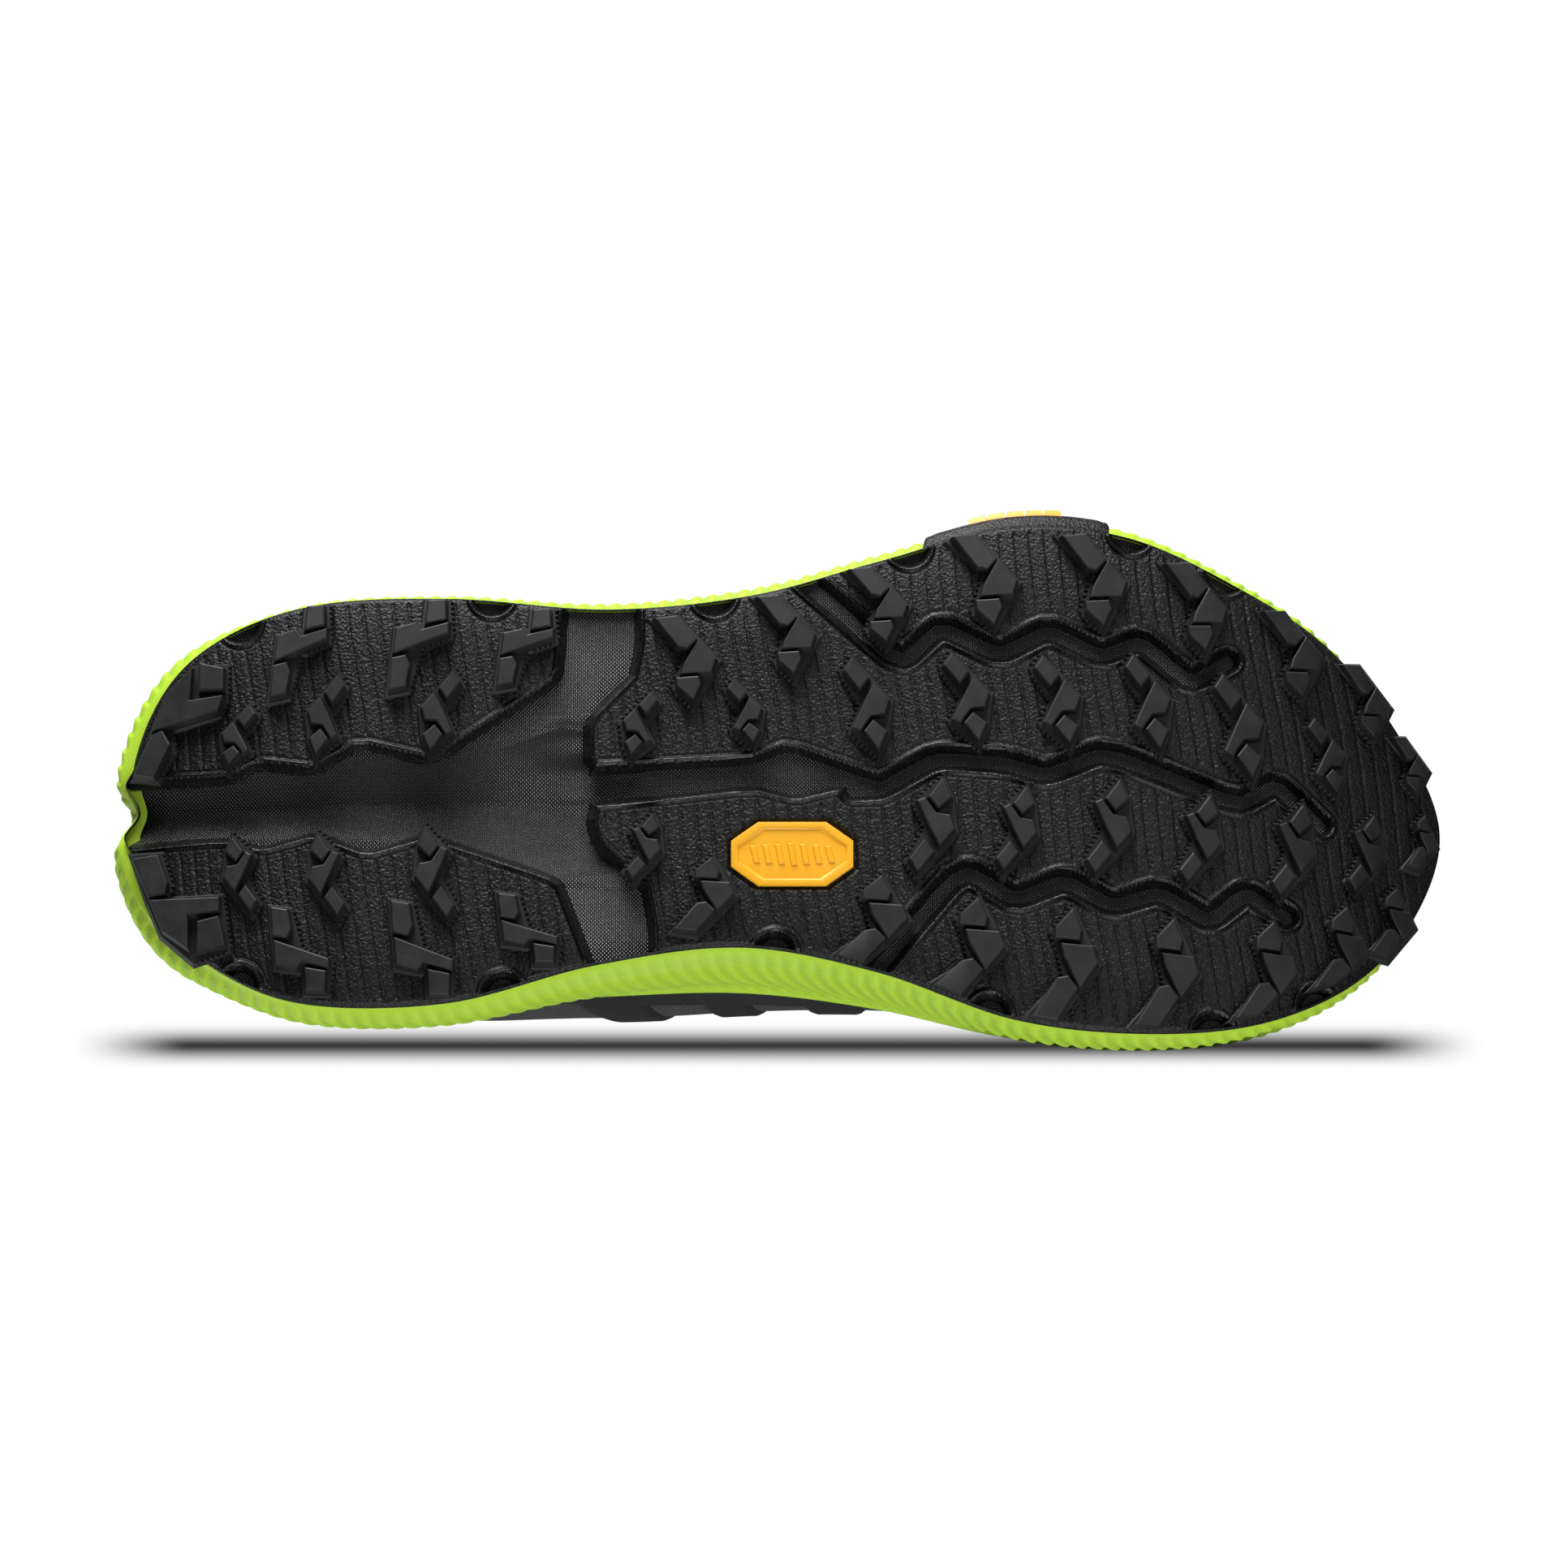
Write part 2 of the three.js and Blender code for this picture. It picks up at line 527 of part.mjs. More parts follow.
function skinFrame(x, y, depth) {
  const step = 0.5;
  const z = (dx, dy) => skinHeight(x + dx, y + dy, depth);
  const normal = new THREE.Vector3(
    (z(-step, 0) - z(step, 0)) / (2 * step),
    (z(0, -step) - z(0, step)) / (2 * step),
    1,
  ).normalize();
  return { point: new THREE.Vector3(x, y, z(0, 0)), normal };
}

const throatHalf = (x) => {
  const share = (throat.toe * gradeX - x) / ((throat.toe - throat.top) * gradeX);
  return throat.narrow + (throat.wide - throat.narrow) * share;
};

// A plan strip on both sides of the ridge, between two half-widths, from x = low to x = high.
function ridgeStrip(low, high, inner, outer, side) {
  const count = 8;
  const xs = Array.from({ length: count + 1 }, (_, i) => low + (high - low) * i / count);
  const edge = (half) => xs.map((x) => [x, ridge(x) + side * half(x)]);
  return [...edge(inner), ...edge(outer).toReversed()];
}

function throatPlan() {
  const low = (throat.top - 30) * gradeX;
  const high = throat.toe * gradeX - throat.narrow;
  const nose = [0.3, 0.55, 0.8, 0.95].map((s) => s * throat.narrow);
  const noseHalf = nose.map((d) => Math.sqrt(throat.narrow ** 2 - d ** 2));
  const tip = [...nose.map((d, i) => [high + d, ridge(high) - noseHalf[i]]),
    ...nose.map((d, i) => [high + d, ridge(high) + noseHalf[i]]).toReversed()];
  const count = 8;
  const xs = Array.from({ length: count + 1 }, (_, i) => low + (high - low) * i / count);
  return [...xs.map((x) => [x, ridge(x) - throatHalf(x)]), ...tip,
    ...xs.toReversed().map((x) => [x, ridge(x) + throatHalf(x)])];
}

const collarXs = Array.from({ length: 15 }, (_, i) => i * 8.2 * gradeX);
function overCollar(drop) {
  const back = collar(0) - drop;
  const line = collarXs.map((x) => [x, collar(x) - drop]);
  return sideways([[-60, back], ...line, [line.at(-1)[0], 300], [-60, 300]]);
}

const opening = overCollar(0).add(standing(throatPlan(), 60));
const outer = upperSolid(0);
const upperShell = outer.subtract(upperSolid(shell, 20)).subtract(opening);
const seam = 163 * gradeX;
const far = 400;
const gapHalf = fit / 2;
const layer = (from, to) => upperSolid(from).subtract(upperSolid(to, 20));
const onSkin = layer(-fit - overlay, -fit);
const underRim = sheet(last, 2 * overlay, () => -60, (x, s, p) => rim(p.x) + 2 * fit, [-1, 1]);

const rows = [...laceRows.map((x) => x * gradeX), eyelet.x * gradeX];
const loopAt = (row, side) => {
  const x = rows[row];
  const inset = row === laceRows.length ? eyelet.inset : loop.inset;
  return skinFrame(x, ridge(x) + side * (throatHalf(x) + inset), -fit - overlay);
};

function eyeletHole(side, radius, deep = 12) {
  const { point, normal } = loopAt(laceRows.length, side);
  const turn = new THREE.Quaternion().setFromUnitVectors(new THREE.Vector3(0, 1, 0), normal);
  const geometry = new THREE.CylinderGeometry(radius, radius, deep, 10);
  return asSolid(geometry.applyQuaternion(turn).translate(point.x, point.y, point.z));
}
const holes = [-1, 1].map((side) => eyeletHole(side, eyelet.hole));
const punched = (solid) => holes.reduce((s, hole) => s.subtract(hole), solid);

function eyeletRing(side) {
  const { point, normal } = loopAt(laceRows.length, side);
  const turn = new THREE.Quaternion().setFromUnitVectors(new THREE.Vector3(0, 1, 0), normal);
  const lift = normal.clone().multiplyScalar(fit + eyelet.thick / 2 + 0.25).add(point);
  const disc = new THREE.CylinderGeometry(eyelet.ring, eyelet.ring, eyelet.thick, 10);
  return asSolid(disc.applyQuaternion(turn).translate(lift.x, lift.y, lift.z))
    .subtract(eyeletHole(side, eyelet.hole));
}

const eyestayEdge = (grow) => (x) => throatHalf(x) + eyestayWidth + grow;
const eyestayTop = (throat.top - 4) * gradeX;
const eyestayToe = (throat.toe - 2) * gradeX;
function eyestay(side) {
  const plan = ridgeStrip(eyestayTop, eyestayToe, (x) => throatHalf(x) + 0.4, eyestayEdge(0), side);
  return punched(onSkin.intersect(standing(plan, 50)).subtract(overCollar(0.6)));
}
const eyestayKeepOut = [-1, 1].map((side) => standing(
  ridgeStrip(eyestayTop - 8, eyestayToe + 2, () => 0, eyestayEdge(1), side), 50,
));

// Three fingers that run from the rim up to the eyestay.
const saddleSide = [[90, 20], [168, 20], [166, 48], [170, 110], [162, 110], [152, 52], [140, 52], [150, 112],
  [141, 112], [128, 54], [118, 54], [128, 112], [118, 112], [98, 52], [90, 46]];
function saddle(side) {
  const points = saddleSide.map(([x, z]) => [x * gradeX, z]);
  const cut = side < 0 ? sideways(points, -150, 0) : sideways(points, 0, 150);
  const trims = [underRim, ...eyestayKeepOut, overCollar(3)];
  return largest(trims.reduce((solid, trim) => solid.subtract(trim), onSkin.intersect(cut)));
}

const toeCap = onSkin.subtract(underRim).intersect(sideways([[252, 20], [264, 56], [278, 61], [340, 62],
  [340, 20]].map(([x, z]) => [x * gradeX, z])));
const heelClip = onSkin.subtract(underRim).intersect(sideways([[-40, 20], [56, 20], [38, 50], [14, 66],
  [-40, 68]].map(([x, z]) => [x * gradeX, z])));

const within = layer(shell + fit, shell + fit + stiffener);
const counterSide = (grow) => sideways([[-40, 0], [58 + grow, 0], [44 + grow, 54 + grow], [-40, 60 + grow]]
  .map(([x, z]) => [x * gradeX, z]));
const heelCounter = within.intersect(counterSide(0));
const toePuff = within.intersect(sideways([[256, 0], [266, 90], [340, 90], [340, 0]]
  .map(([x, z]) => [x * gradeX, z])));

function collarPadding() {
  const thick = layer(shell + fit, shell + fit + padding.thick);
  const band = overCollar(padding.drop).subtract(overCollar(1.5));
  const behind = box(-60, padding.front * gradeX, -150, 150);
  return thick.intersect(band).intersect(behind).subtract(counterSide(3 * fit));
}

const insideWall = -(shell + fit + stiffener + fit);
const strobelBoard = sheet(last, insideWall, (x) => footbed(x) + fit, (x) => footbed(x) + fit + board, [-1, 1]);
const linerFoot = (x) => footbed(x) + 2 * fit + board;
const dish = 0.0015; // rise of the sockliner towards its edges
const liner = sheet(last, insideWall - 1.2, linerFoot,
  (x, s, p) => linerFoot(x) + sockliner + dish * p.y * p.y, [-1, -0.6, 0.6, 1]);

// ---------------------------------------------------------------- tongue
const tongueDepth = shell + tongue.gap;
function tonguePad() {
  const low = tongue.top * gradeX;
  const high = tongue.toe * gradeX;
  const half = (x) => tongue.wide + (tongue.narrow - tongue.wide) * (x - low) / (high - low);
  const top = ridgeStrip(low + 6, high, () => 0, half, 1);
  const plan = standing(top, 60).add(standing(ridgeStrip(low + 6, high, () => 0, half, -1), 60))
    .add(standing([[low, ridge(low) - 15], [low + 7, ridge(low) - tongue.wide],
      [low + 7, ridge(low) + tongue.wide], [low, ridge(low) + 15]], 60));
  return layer(tongueDepth, tongueDepth + tongue.thick).intersect(plan);
}
const tonguePatchDepth = tongueDepth - fit;
function tonguePatch() {
  const x = (tongue.top + 6) * gradeX;
  return layer(tonguePatchDepth - 0.8, tonguePatchDepth)
    .intersect(box(x, x + 13, ridge(x) - 9, ridge(x) + 9).intersect(standing([[0, -60], [far, -60], [far, 60], [0, 60]], 70)));
}

// ---------------------------------------------------------------- laces
function laceLoop() {
  const a = loop.hole / 2;
  const b = loop.height / 2;
  const rounded = (w, h) => [[-w, -h * 0.5], [-w * 0.7, -h], [w * 0.7, -h], [w, -h * 0.5], [w, h * 0.5],
    [w * 0.7, h], [-w * 0.7, h], [-w, h * 0.5]].map(([p, q]) => new THREE.Vector2(p, q));
  const shape = new THREE.Shape(rounded(a + loop.wall, b + loop.wall));
  shape.holes.push(new THREE.Path(rounded(a, b)));
  const geometry = new THREE.ExtrudeGeometry(shape, { depth: loop.length, bevelEnabled: false, steps: 1 });
  return asSolid(geometry.translate(0, 0, -loop.length / 2));
}

// Where a loop sits: its opening points along the row of loops and its back lies on the eyestay.
function loopPlace(row, side) {
  const { normal } = loopAt(row, side);
  const along = loopDirection(row, side);
  const acrossAxis = new THREE.Vector3().crossVectors(normal, along).normalize();
  return new THREE.Matrix4().makeBasis(acrossAxis, normal, along).setPosition(loopCentre(row, side));
}

function loopDirection(row, side) {
  const next = loopAt(Math.min(row + 1, rows.length - 1), side).point;
  const before = loopAt(Math.max(row - 1, 0), side).point;
  const { normal } = loopAt(row, side);
  const along = next.sub(before);
  return along.addScaledVector(normal, -along.dot(normal)).normalize();
}

function loopCentre(row, side) {
  const { point, normal } = loopAt(row, side);
  return point.clone().addScaledVector(normal, fit + 0.35 + loop.wall + loop.height / 2);
}

// The points the lace runs through where it is held, from where it enters to where it leaves.
function heldPoints(row, side, first, downwards) {
  const { point, normal } = loopAt(row, side);
  if (row === laceRows.length) {
    const heights = [eyelet.rise, 1.8, -1, -3.2];
    const points = heights.map((h) => point.clone().addScaledVector(normal, h));
    return (first ? points.toReversed() : points).map((p) => ({ p, normal }));
  }
  const centre = loopCentre(row, side);
  const along = loopDirection(row, side).multiplyScalar(downwards ? -1 : 1);
  const reach = loop.length / 2;
  return [-reach - 2, -reach, reach, reach + 2].map((d) => ({ p: centre.clone().addScaledVector(along, d), normal }));
}

// The lace zigzags down from one top eyelet, crosses once under the lowest row and zigzags back up.
function lacePath() {
  const top = laceRows.length;
  const sideOf = (row) => ((top - row) % 2 ? 1 : -1);
  const down = Array.from({ length: top + 1 }, (_, i) => [top - i, sideOf(top - i)]);
  const up = down.toReversed().map(([row, side]) => [row, -side]);
  const order = [...down, ...up];
  return order.flatMap(([row, side], i) => {
    const held = heldPoints(row, side, i === 0, i <= top);
    const next = order[i + 1];
    if (!next) return held;
    const level = row === next[0];
    const x = level ? rows[row] + loop.length / 2 + 6 : (rows[row] + rows[next[0]]) / 2;
    const over = level || i < top ? 0 : lace.thick + lace.gap;
    const z = skinHeight(x, ridge(x), 0) + (level ? lace.rise + 1 : lace.rise) + over;
    return [...held, { p: new THREE.Vector3(x, ridge(x), z), normal: new THREE.Vector3(0.35, 0, 1).normalize() }];
  });
}

function laceSolid() {
  const knots = lacePath();
  const curve = new THREE.CatmullRomCurve3(knots.map((k) => k.p), false, 'centripetal');
  const perKnot = 2;
  const corners = 6;
  const count = (knots.length - 1) * perKnot;
  const rings = Array.from({ length: count + 1 }, (_, i) => {
    const at = Math.min(Math.floor(i / perKnot), knots.length - 2);
    const p = curve.getPoint(i / count);
    const tangent = curve.getTangent(i / count);
    const hint = knots[at].normal.clone().lerp(knots[at + 1].normal, i / perKnot - at);
    const wide = new THREE.Vector3().crossVectors(
      Math.abs(tangent.dot(hint)) > 0.9 ? new THREE.Vector3(1, 0, 0.3) : hint,
      tangent,
    ).normalize();
    const up = new THREE.Vector3().crossVectors(tangent, wide).normalize();
    return Array.from({ length: corners }, (_, k) => {
      const angle = 2 * Math.PI * k / corners;
      return p.clone().addScaledVector(wide, Math.cos(angle) * lace.width / 2)
        .addScaledVector(up, Math.sin(angle) * lace.thick / 2);
    });
  });
  return loft(rings, true);
}

// ---------------------------------------------------------------- pull tab
// A strap stitched up the back of the heel, with a free end that folds back above the collar.
const tabFoot = collar(0) - pullTab.stitched;
const tabFold = collar(0) + fit;
const tabTop = tabFold + pullTab.free;
const heelBack = (z) => last.at(0, 1).x + heelCurve(last.at(0, 1).x, z) - 3 * fit;

function strap(low, high) {
  const heights = [0, 0.5, 1].map((t) => low + (high - low) * t);
  const front = heights.map((z) => [heelBack(Math.min(z, tabFold)), z]);
  const back = front.map(([x, z]) => [x - pullTab.thick, z]);
  return sideways([...front, ...back.toReversed()], -pullTab.width / 2, pullTab.width / 2);
}

// ---------------------------------------------------------------- the shoe
const finishes = {
  rubber: { color: 0x1b1b1c, roughness: 0.75 },
  carrier: { color: 0x1e1e20, roughness: 0.55 },
  lime: { color: 0xb6e33a, roughness: 0.65 },
  amber: { color: 0xf5a81c, roughness: 0.5 },
  knit: { color: 0x202124, roughness: 0.9 },
  film: { color: 0x141415, roughness: 0.45 },
  webbing: { color: 0x2a2b2e, roughness: 0.85 },
  cord: { color: 0x17181a, roughness: 0.85 },
  board: { color: 0xc9c7c0, roughness: 0.9 },
  stiff: { color: 0x5a5b5e, roughness: 0.7 },
  lining: { color: 0x2c2d30, roughness: 0.95 },
};

const shoe = new THREE.Group();
shoe.name = 'trail_running_shoe';
function group(name) {
  const made = new THREE.Group();
  made.name = name;
  shoe.add(made);
  return made;
}
const sole = group('sole');
const inside = group('inside');
const upper = group('upper');
const tongueGroup = group('tongue_group');
const lacing = group('lacing');
const heelTab = group('heel_tab');

function place(parent, name, finish, solid, matrix = new THREE.Matrix4()) {
  const { vertProperties, triVerts } = solid.simplify(0.03).getMesh();
  const geometry = new THREE.BufferGeometry();
  geometry.setAttribute('position', new THREE.BufferAttribute(Float32Array.from(vertProperties), 3));
  geometry.setIndex(new THREE.BufferAttribute(Uint32Array.from(triVerts), 1));
  const material = new THREE.MeshStandardMaterial({ ...finishes[finish], metalness: 0 });
  const mesh = new THREE.Mesh(geometry, material);
  mesh.name = name;
  mesh.applyMatrix4(matrix);
  parent.add(mesh);
}

const forefoot = pod(foreRegion, Object.values(grooves), foreLugs)
  .add(wrapEdge).add(sideWrap).subtract(badgePocket);
place(sole, 'outsole_forefoot', 'rubber', forefoot);
place(sole, 'outsole_heel_lateral', 'rubber', pod(lateralHeelRegion, [], lateralHeelLugs, lateralCorner));
place(sole, 'outsole_heel_medial', 'rubber', pod(medialHeelRegion, [], medialHeelLugs, medialCorner));
place(sole, 'sole_badge', 'amber', soleBadge);
place(sole, 'side_emblem', 'amber', sideEmblem);
place(sole, 'midsole_carrier', 'carrier', midsoleCarrier);
place(sole, 'midsole_foam', 'lime', midsoleFoam);
place(inside, 'strobel_board', 'board', strobelBoard);
place(inside, 'sockliner', 'lining', liner);
place(inside, 'heel_counter', 'stiff', heelCounter);
place(inside, 'toe_puff', 'stiff', toePuff);
place(inside, 'collar_padding', 'lining', collarPadding());

const behindSeam = (y0, y1) => box(-far, seam - gapHalf, y0, y1);
place(upper, 'upper_vamp', 'knit', upperShell.intersect(box(seam + gapHalf, far, -far, far)));
place(upper, 'upper_quarter_lateral', 'knit', punched(upperShell.intersect(behindSeam(-far, -gapHalf))));
place(upper, 'upper_quarter_medial', 'knit', punched(upperShell.intersect(behindSeam(gapHalf, far))));
place(upper, 'toe_cap', 'film', toeCap);
place(upper, 'heel_clip', 'film', heelClip);
for (const [side, word] of [[-1, 'lateral'], [1, 'medial']]) {
  place(upper, `eyestay_${word}`, 'film', eyestay(side));
  place(upper, `saddle_${word}`, 'film', saddle(side));
  place(lacing, `eyelet_${word}`, 'film', eyeletRing(side));
  for (const row of laceRows.keys()) {
    place(lacing, `lace_loop_${word}_${row + 1}`, 'webbing', laceLoop(), loopPlace(row, side));
  }
}
place(lacing, 'lace', 'cord', laceSolid());
place(tongueGroup, 'tongue', 'knit', tonguePad());
place(tongueGroup, 'tongue_patch', 'film', tonguePatch());
place(heelTab, 'pull_tab_base', 'webbing', strap(tabFoot, tabFold - fit));
place(heelTab, 'pull_tab', 'webbing', strap(tabFold, tabTop));

const extent = new THREE.Box3().setFromObject(shoe);
const middle = extent.getCenter(new THREE.Vector3());
shoe.position.set(-middle.x, -middle.y, -extent.min.z);

export default shoe;
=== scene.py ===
import math
import bpy
import numpy as np
from mathutils import Matrix, Vector


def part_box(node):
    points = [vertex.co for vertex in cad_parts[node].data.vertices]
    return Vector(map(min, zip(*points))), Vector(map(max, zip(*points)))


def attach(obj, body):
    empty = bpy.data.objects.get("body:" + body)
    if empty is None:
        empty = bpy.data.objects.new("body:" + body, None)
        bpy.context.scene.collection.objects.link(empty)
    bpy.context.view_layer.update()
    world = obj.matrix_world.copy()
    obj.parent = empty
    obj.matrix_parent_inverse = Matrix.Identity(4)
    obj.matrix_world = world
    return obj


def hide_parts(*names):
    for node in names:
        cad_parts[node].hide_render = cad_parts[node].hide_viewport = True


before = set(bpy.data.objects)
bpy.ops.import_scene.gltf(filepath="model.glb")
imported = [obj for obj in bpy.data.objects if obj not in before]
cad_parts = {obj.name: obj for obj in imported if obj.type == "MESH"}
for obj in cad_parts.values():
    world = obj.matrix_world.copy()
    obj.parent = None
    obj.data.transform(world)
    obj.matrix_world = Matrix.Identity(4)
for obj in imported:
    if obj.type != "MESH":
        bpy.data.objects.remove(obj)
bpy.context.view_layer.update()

# Shapes are worked out in the shoe's own millimetres: x from heel to toe, +y medial, z up from the ground.
lengthOfShoe = 298
shift = np.array([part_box("outsole_forefoot")[1][0] * 1000 - lengthOfShoe,
                  (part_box("pull_tab")[0][1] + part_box("pull_tab")[1][1]) * 500, 0])


def toMetres(points):
    return (np.asarray(points, float) + shift) / 1000


def unit(vectors):
    return vectors / np.maximum(np.linalg.norm(vectors, axis=-1, keepdims=True), 1e-9)


def lengthsAlong(points, axis=0):
    # the running length of a row of points, from 0
    steps = np.linalg.norm(np.diff(points, axis=axis), axis=-1)
    return np.concatenate([np.zeros_like(np.take(steps, [0], axis)), np.cumsum(steps, axis)], axis)


def oval(turn, acrossPower, upPower):
    # a rounded-off rectangle of half size 1, at the given turns
    c, s = np.cos(turn), np.sin(turn)
    return np.sign(c) * np.abs(c) ** acrossPower, np.sign(s) * np.abs(s) ** upPower


def swell(value, middle, width):
    return np.exp(-((value - middle) / width) ** 2)


# Finishes: a wrapped socket, so that values are written as sums
class Wire:
    def __init__(self, tree, socket):
        self.tree, self.socket = tree, socket

    def step(self, operation, *others, clamp=False):
        node = self.tree.nodes.new("ShaderNodeMath")
        node.operation, node.use_clamp = operation, clamp
        for slot, value in zip(node.inputs, others):
            if isinstance(value, Wire):
                self.tree.links.new(value.socket, slot)
            else:
                slot.default_value = value
        return Wire(self.tree, node.outputs[0])

    def __add__(self, other):
        return self.step("ADD", self, other)

    def __radd__(self, other):
        return self.step("ADD", other, self)

    def __sub__(self, other):
        return self.step("SUBTRACT", self, other)

    def __rsub__(self, other):
        return self.step("SUBTRACT", other, self)

    def __mul__(self, other):
        return self.step("MULTIPLY", self, other)

    def __truediv__(self, other):
        return self.step("DIVIDE", self, other)

    def __pow__(self, other):
        return self.step("POWER", self, other)

    def __abs__(self):
        return self.step("ABSOLUTE", self)

    def sine(self):
        return self.step("SINE", self)

    def clamped(self):
        return self.step("ADD", self, 0.0, clamp=True)


class Finish:
    # One material. Plain numbers go straight on the shader, varying ones are linked with feed().
    def __init__(self, name, color, roughness, **fixed):
        self.material = bpy.data.materials.new(name)
        self.material.use_nodes = True
        self.tree = self.material.node_tree
        self.shader = self.tree.nodes["Principled BSDF"]
        self.shader.inputs["Base Color"].default_value = (*color, 1)
        self.shader.inputs["Roughness"].default_value = roughness
        for socket, value in fixed.items():
            self.shader.inputs[socket.replace("_", " ")].default_value = value
        self.material.diffuse_color = (*color, 1)
        self.place = self.node("ShaderNodeTexCoord")("Object")

    def node(self, kind, settings=None, **values):
        made = self.tree.nodes.new(kind)
        for key, value in (settings or {}).items():
            setattr(made, key, value)
        for key, value in values.items():
            slot = made.inputs[int(key[1:])] if key[0] == "i" and key[1:].isdigit() else made.inputs[key]
            if isinstance(value, Wire):
                self.tree.links.new(value.socket, slot)
            else:
                slot.default_value = value
        return lambda output=0: Wire(self.tree, made.outputs[output])

    def noise(self, size, detail=2.0, roughness=0.5):
        # size is the width of one blotch in millimetres
        return self.node("ShaderNodeTexNoise", Vector=self.place, Scale=1000 / size, Detail=detail,
                         Roughness=roughness)("Fac")

    def axes(self):
        split = self.node("ShaderNodeSeparateXYZ", Vector=self.place)
        return split("X"), split("Y"), split("Z")

    def value(self, name):
        return self.node("ShaderNodeAttribute", {"attribute_name": name})("Fac")

    def blend(self, share, one, two):
        # a colour between two, by share
        return self.node("ShaderNodeMix", {"data_type": "RGBA"}, i0=share,
                         i6=one if isinstance(one, Wire) else (*one, 1), i7=(*two, 1))(2)

    def smooth(self, value, low, high):
        return self.node("ShaderNodeMapRange", {"interpolation_type": "SMOOTHSTEP"}, Value=value,
                         i1=low, i2=high)("Result")

    def feed(self, socket, wire):
        self.tree.links.new(wire.socket, self.shader.inputs[socket])

    def relief(self, height, depth, strength=1.0):
        # depth in millimetres
        self.feed("Normal", self.node("ShaderNodeBump", Height=height, Distance=depth / 1000,
                                      Strength=strength)("Normal"))


# Outlines and levels of the last and the tread, as the part has them
class Outline:
    def __init__(self, heel, toe, lateral, medial):
        self.knots = np.array([[heel, 0], *lateral, [toe, 0], *medial[::-1]], float)
        share = np.linspace(0, 1, 2001)
        self.shares = share
        self.middles = (self.at(share, -1)[:, 0] + self.at(share, 1)[:, 0]) / 2

    def at(self, share, side, grow=0.0):
        share = np.asarray(share, float)
        turn = (share / 2 if side < 0 else 1 - share / 2) % 1 * len(self.knots)
        first = np.floor(turn).astype(int)
        t = (turn - first)[..., None]
        p0, p1, p2, p3 = (self.knots[(first + k) % len(self.knots)] for k in (-1, 0, 1, 2))
        a, b = (p2 - p0) / 2, (p3 - p1) / 2
        c2, c3 = 3 * (p2 - p1) - 2 * a - b, 2 * (p1 - p2) + a + b
        point = p1 + a * t + c2 * t ** 2 + c3 * t ** 3
        slope = a + 2 * c2 * t + 3 * c3 * t ** 2
        slope = unit(slope)
        grow = np.asarray(grow, float)[..., None]
        return point + np.stack([slope[..., 1], -slope[..., 0]], -1) * grow

    def shareAt(self, x):
        return np.interp(x, self.middles, self.shares)

    def middle(self, share):
        return np.interp(share, self.shares, self.middles)


tread = Outline(0, 298,
    [[5, -20], [18, -35], [42, -44.5], [75, -46.3], [110, -43.8], [142, -47], [170, -54.8],
     [200, -63], [226, -61.5], [250, -52], [272, -39.5], [289, -20.5]],
    [[5, 18], [18, 32.5], [42, 44.5], [75, 45], [108, 36.5], [140, 32.5], [170, 38],
     [200, 48.5], [228, 51.2], [254, 48], [276, 37.5], [291, 21]])
last = Outline(7, 291,
    [[11, -17], [22, -28.5], [44, -34.5], [75, -36.5], [110, -38.5], [142, -43.5], [170, -50],
     [200, -56.5], [226, -55], [249, -46.5], [268, -35.5], [283, -18.5]],
    [[11, 16], [22, 27.5], [44, 34], [75, 35.5], [108, 34], [140, 33.5], [170, 37.5],
     [200, 44.5], [228, 46.5], [252, 43], [271, 33.5], [284, 19]])


def profile(pairs):
    xs, zs = np.array(pairs, float).T
    ends = np.arange(len(xs))
    before, after = np.maximum(ends - 1, 0), np.minimum(ends + 1, len(xs) - 1)
    slopes = (zs[after] - zs[before]) / (xs[after] - xs[before])

    def height(x):
        x = np.clip(np.asarray(x, float), xs[0], xs[-1])
        i = np.clip(np.searchsorted(xs, x, "left") - 1, 0, len(xs) - 2)
        width = xs[i + 1] - xs[i]
        t = (x - xs[i]) / width
        return (zs[i] * (2 * t ** 3 - 3 * t ** 2 + 1) + slopes[i] * width * (t ** 3 - 2 * t ** 2 + t)
                + zs[i + 1] * (3 * t ** 2 - 2 * t ** 3) + slopes[i + 1] * width * (t ** 3 - t ** 2))
    return height


footbed = profile([[0, 33], [40, 31], [75, 30.5], [120, 29], [160, 26.5], [200, 24], [230, 25],
                   [255, 29.5], [275, 37], [298, 47]])
topline = profile([[7, 134], [22, 138], [44, 138], [75, 132], [110, 121], [142, 109], [170, 98],
                   [200, 86], [228, 76], [250, 71], [270, 66.5], [283, 63], [291, 58]])
squareness = profile([[7, 3], [75, 2.6], [110, 2.3], [142, 2.1], [200, 2.1], [250, 2.3], [291, 2.4]])
collarLine = profile([[0, 106], [9, 104], [22, 97], [40, 86], [58, 80.5], [75, 84], [92, 94],
                      [105, 105], [114, 113]])


def foldLine(x):
    # the collar's edge, carried on upwards past the end of the collar
    return collarLine(np.minimum(x, 114)) + np.maximum(x - 114, 0) * 3


def rim(x):
    return footbed(x) + 9


def smooth(low, high, x):
    t = np.clip((x - low) / (high - low), 0, 1)
    return t * t * (3 - 2 * t)


def rocker(x):
    return 11 * np.maximum(0, 1 - x / 62) ** 2 + 30 * np.maximum(0, (x - 185) / 113) ** 2.5


wide = 8  # the levels are spread over the tread's outline and this much round it
wideShares = np.linspace(0, 1, 801)
wideLateral, wideMedial = tread.at(wideShares, -1, wide), tread.at(wideShares, 1, wide)
wideX = (wideLateral[:, 0] + wideMedial[:, 0]) / 2


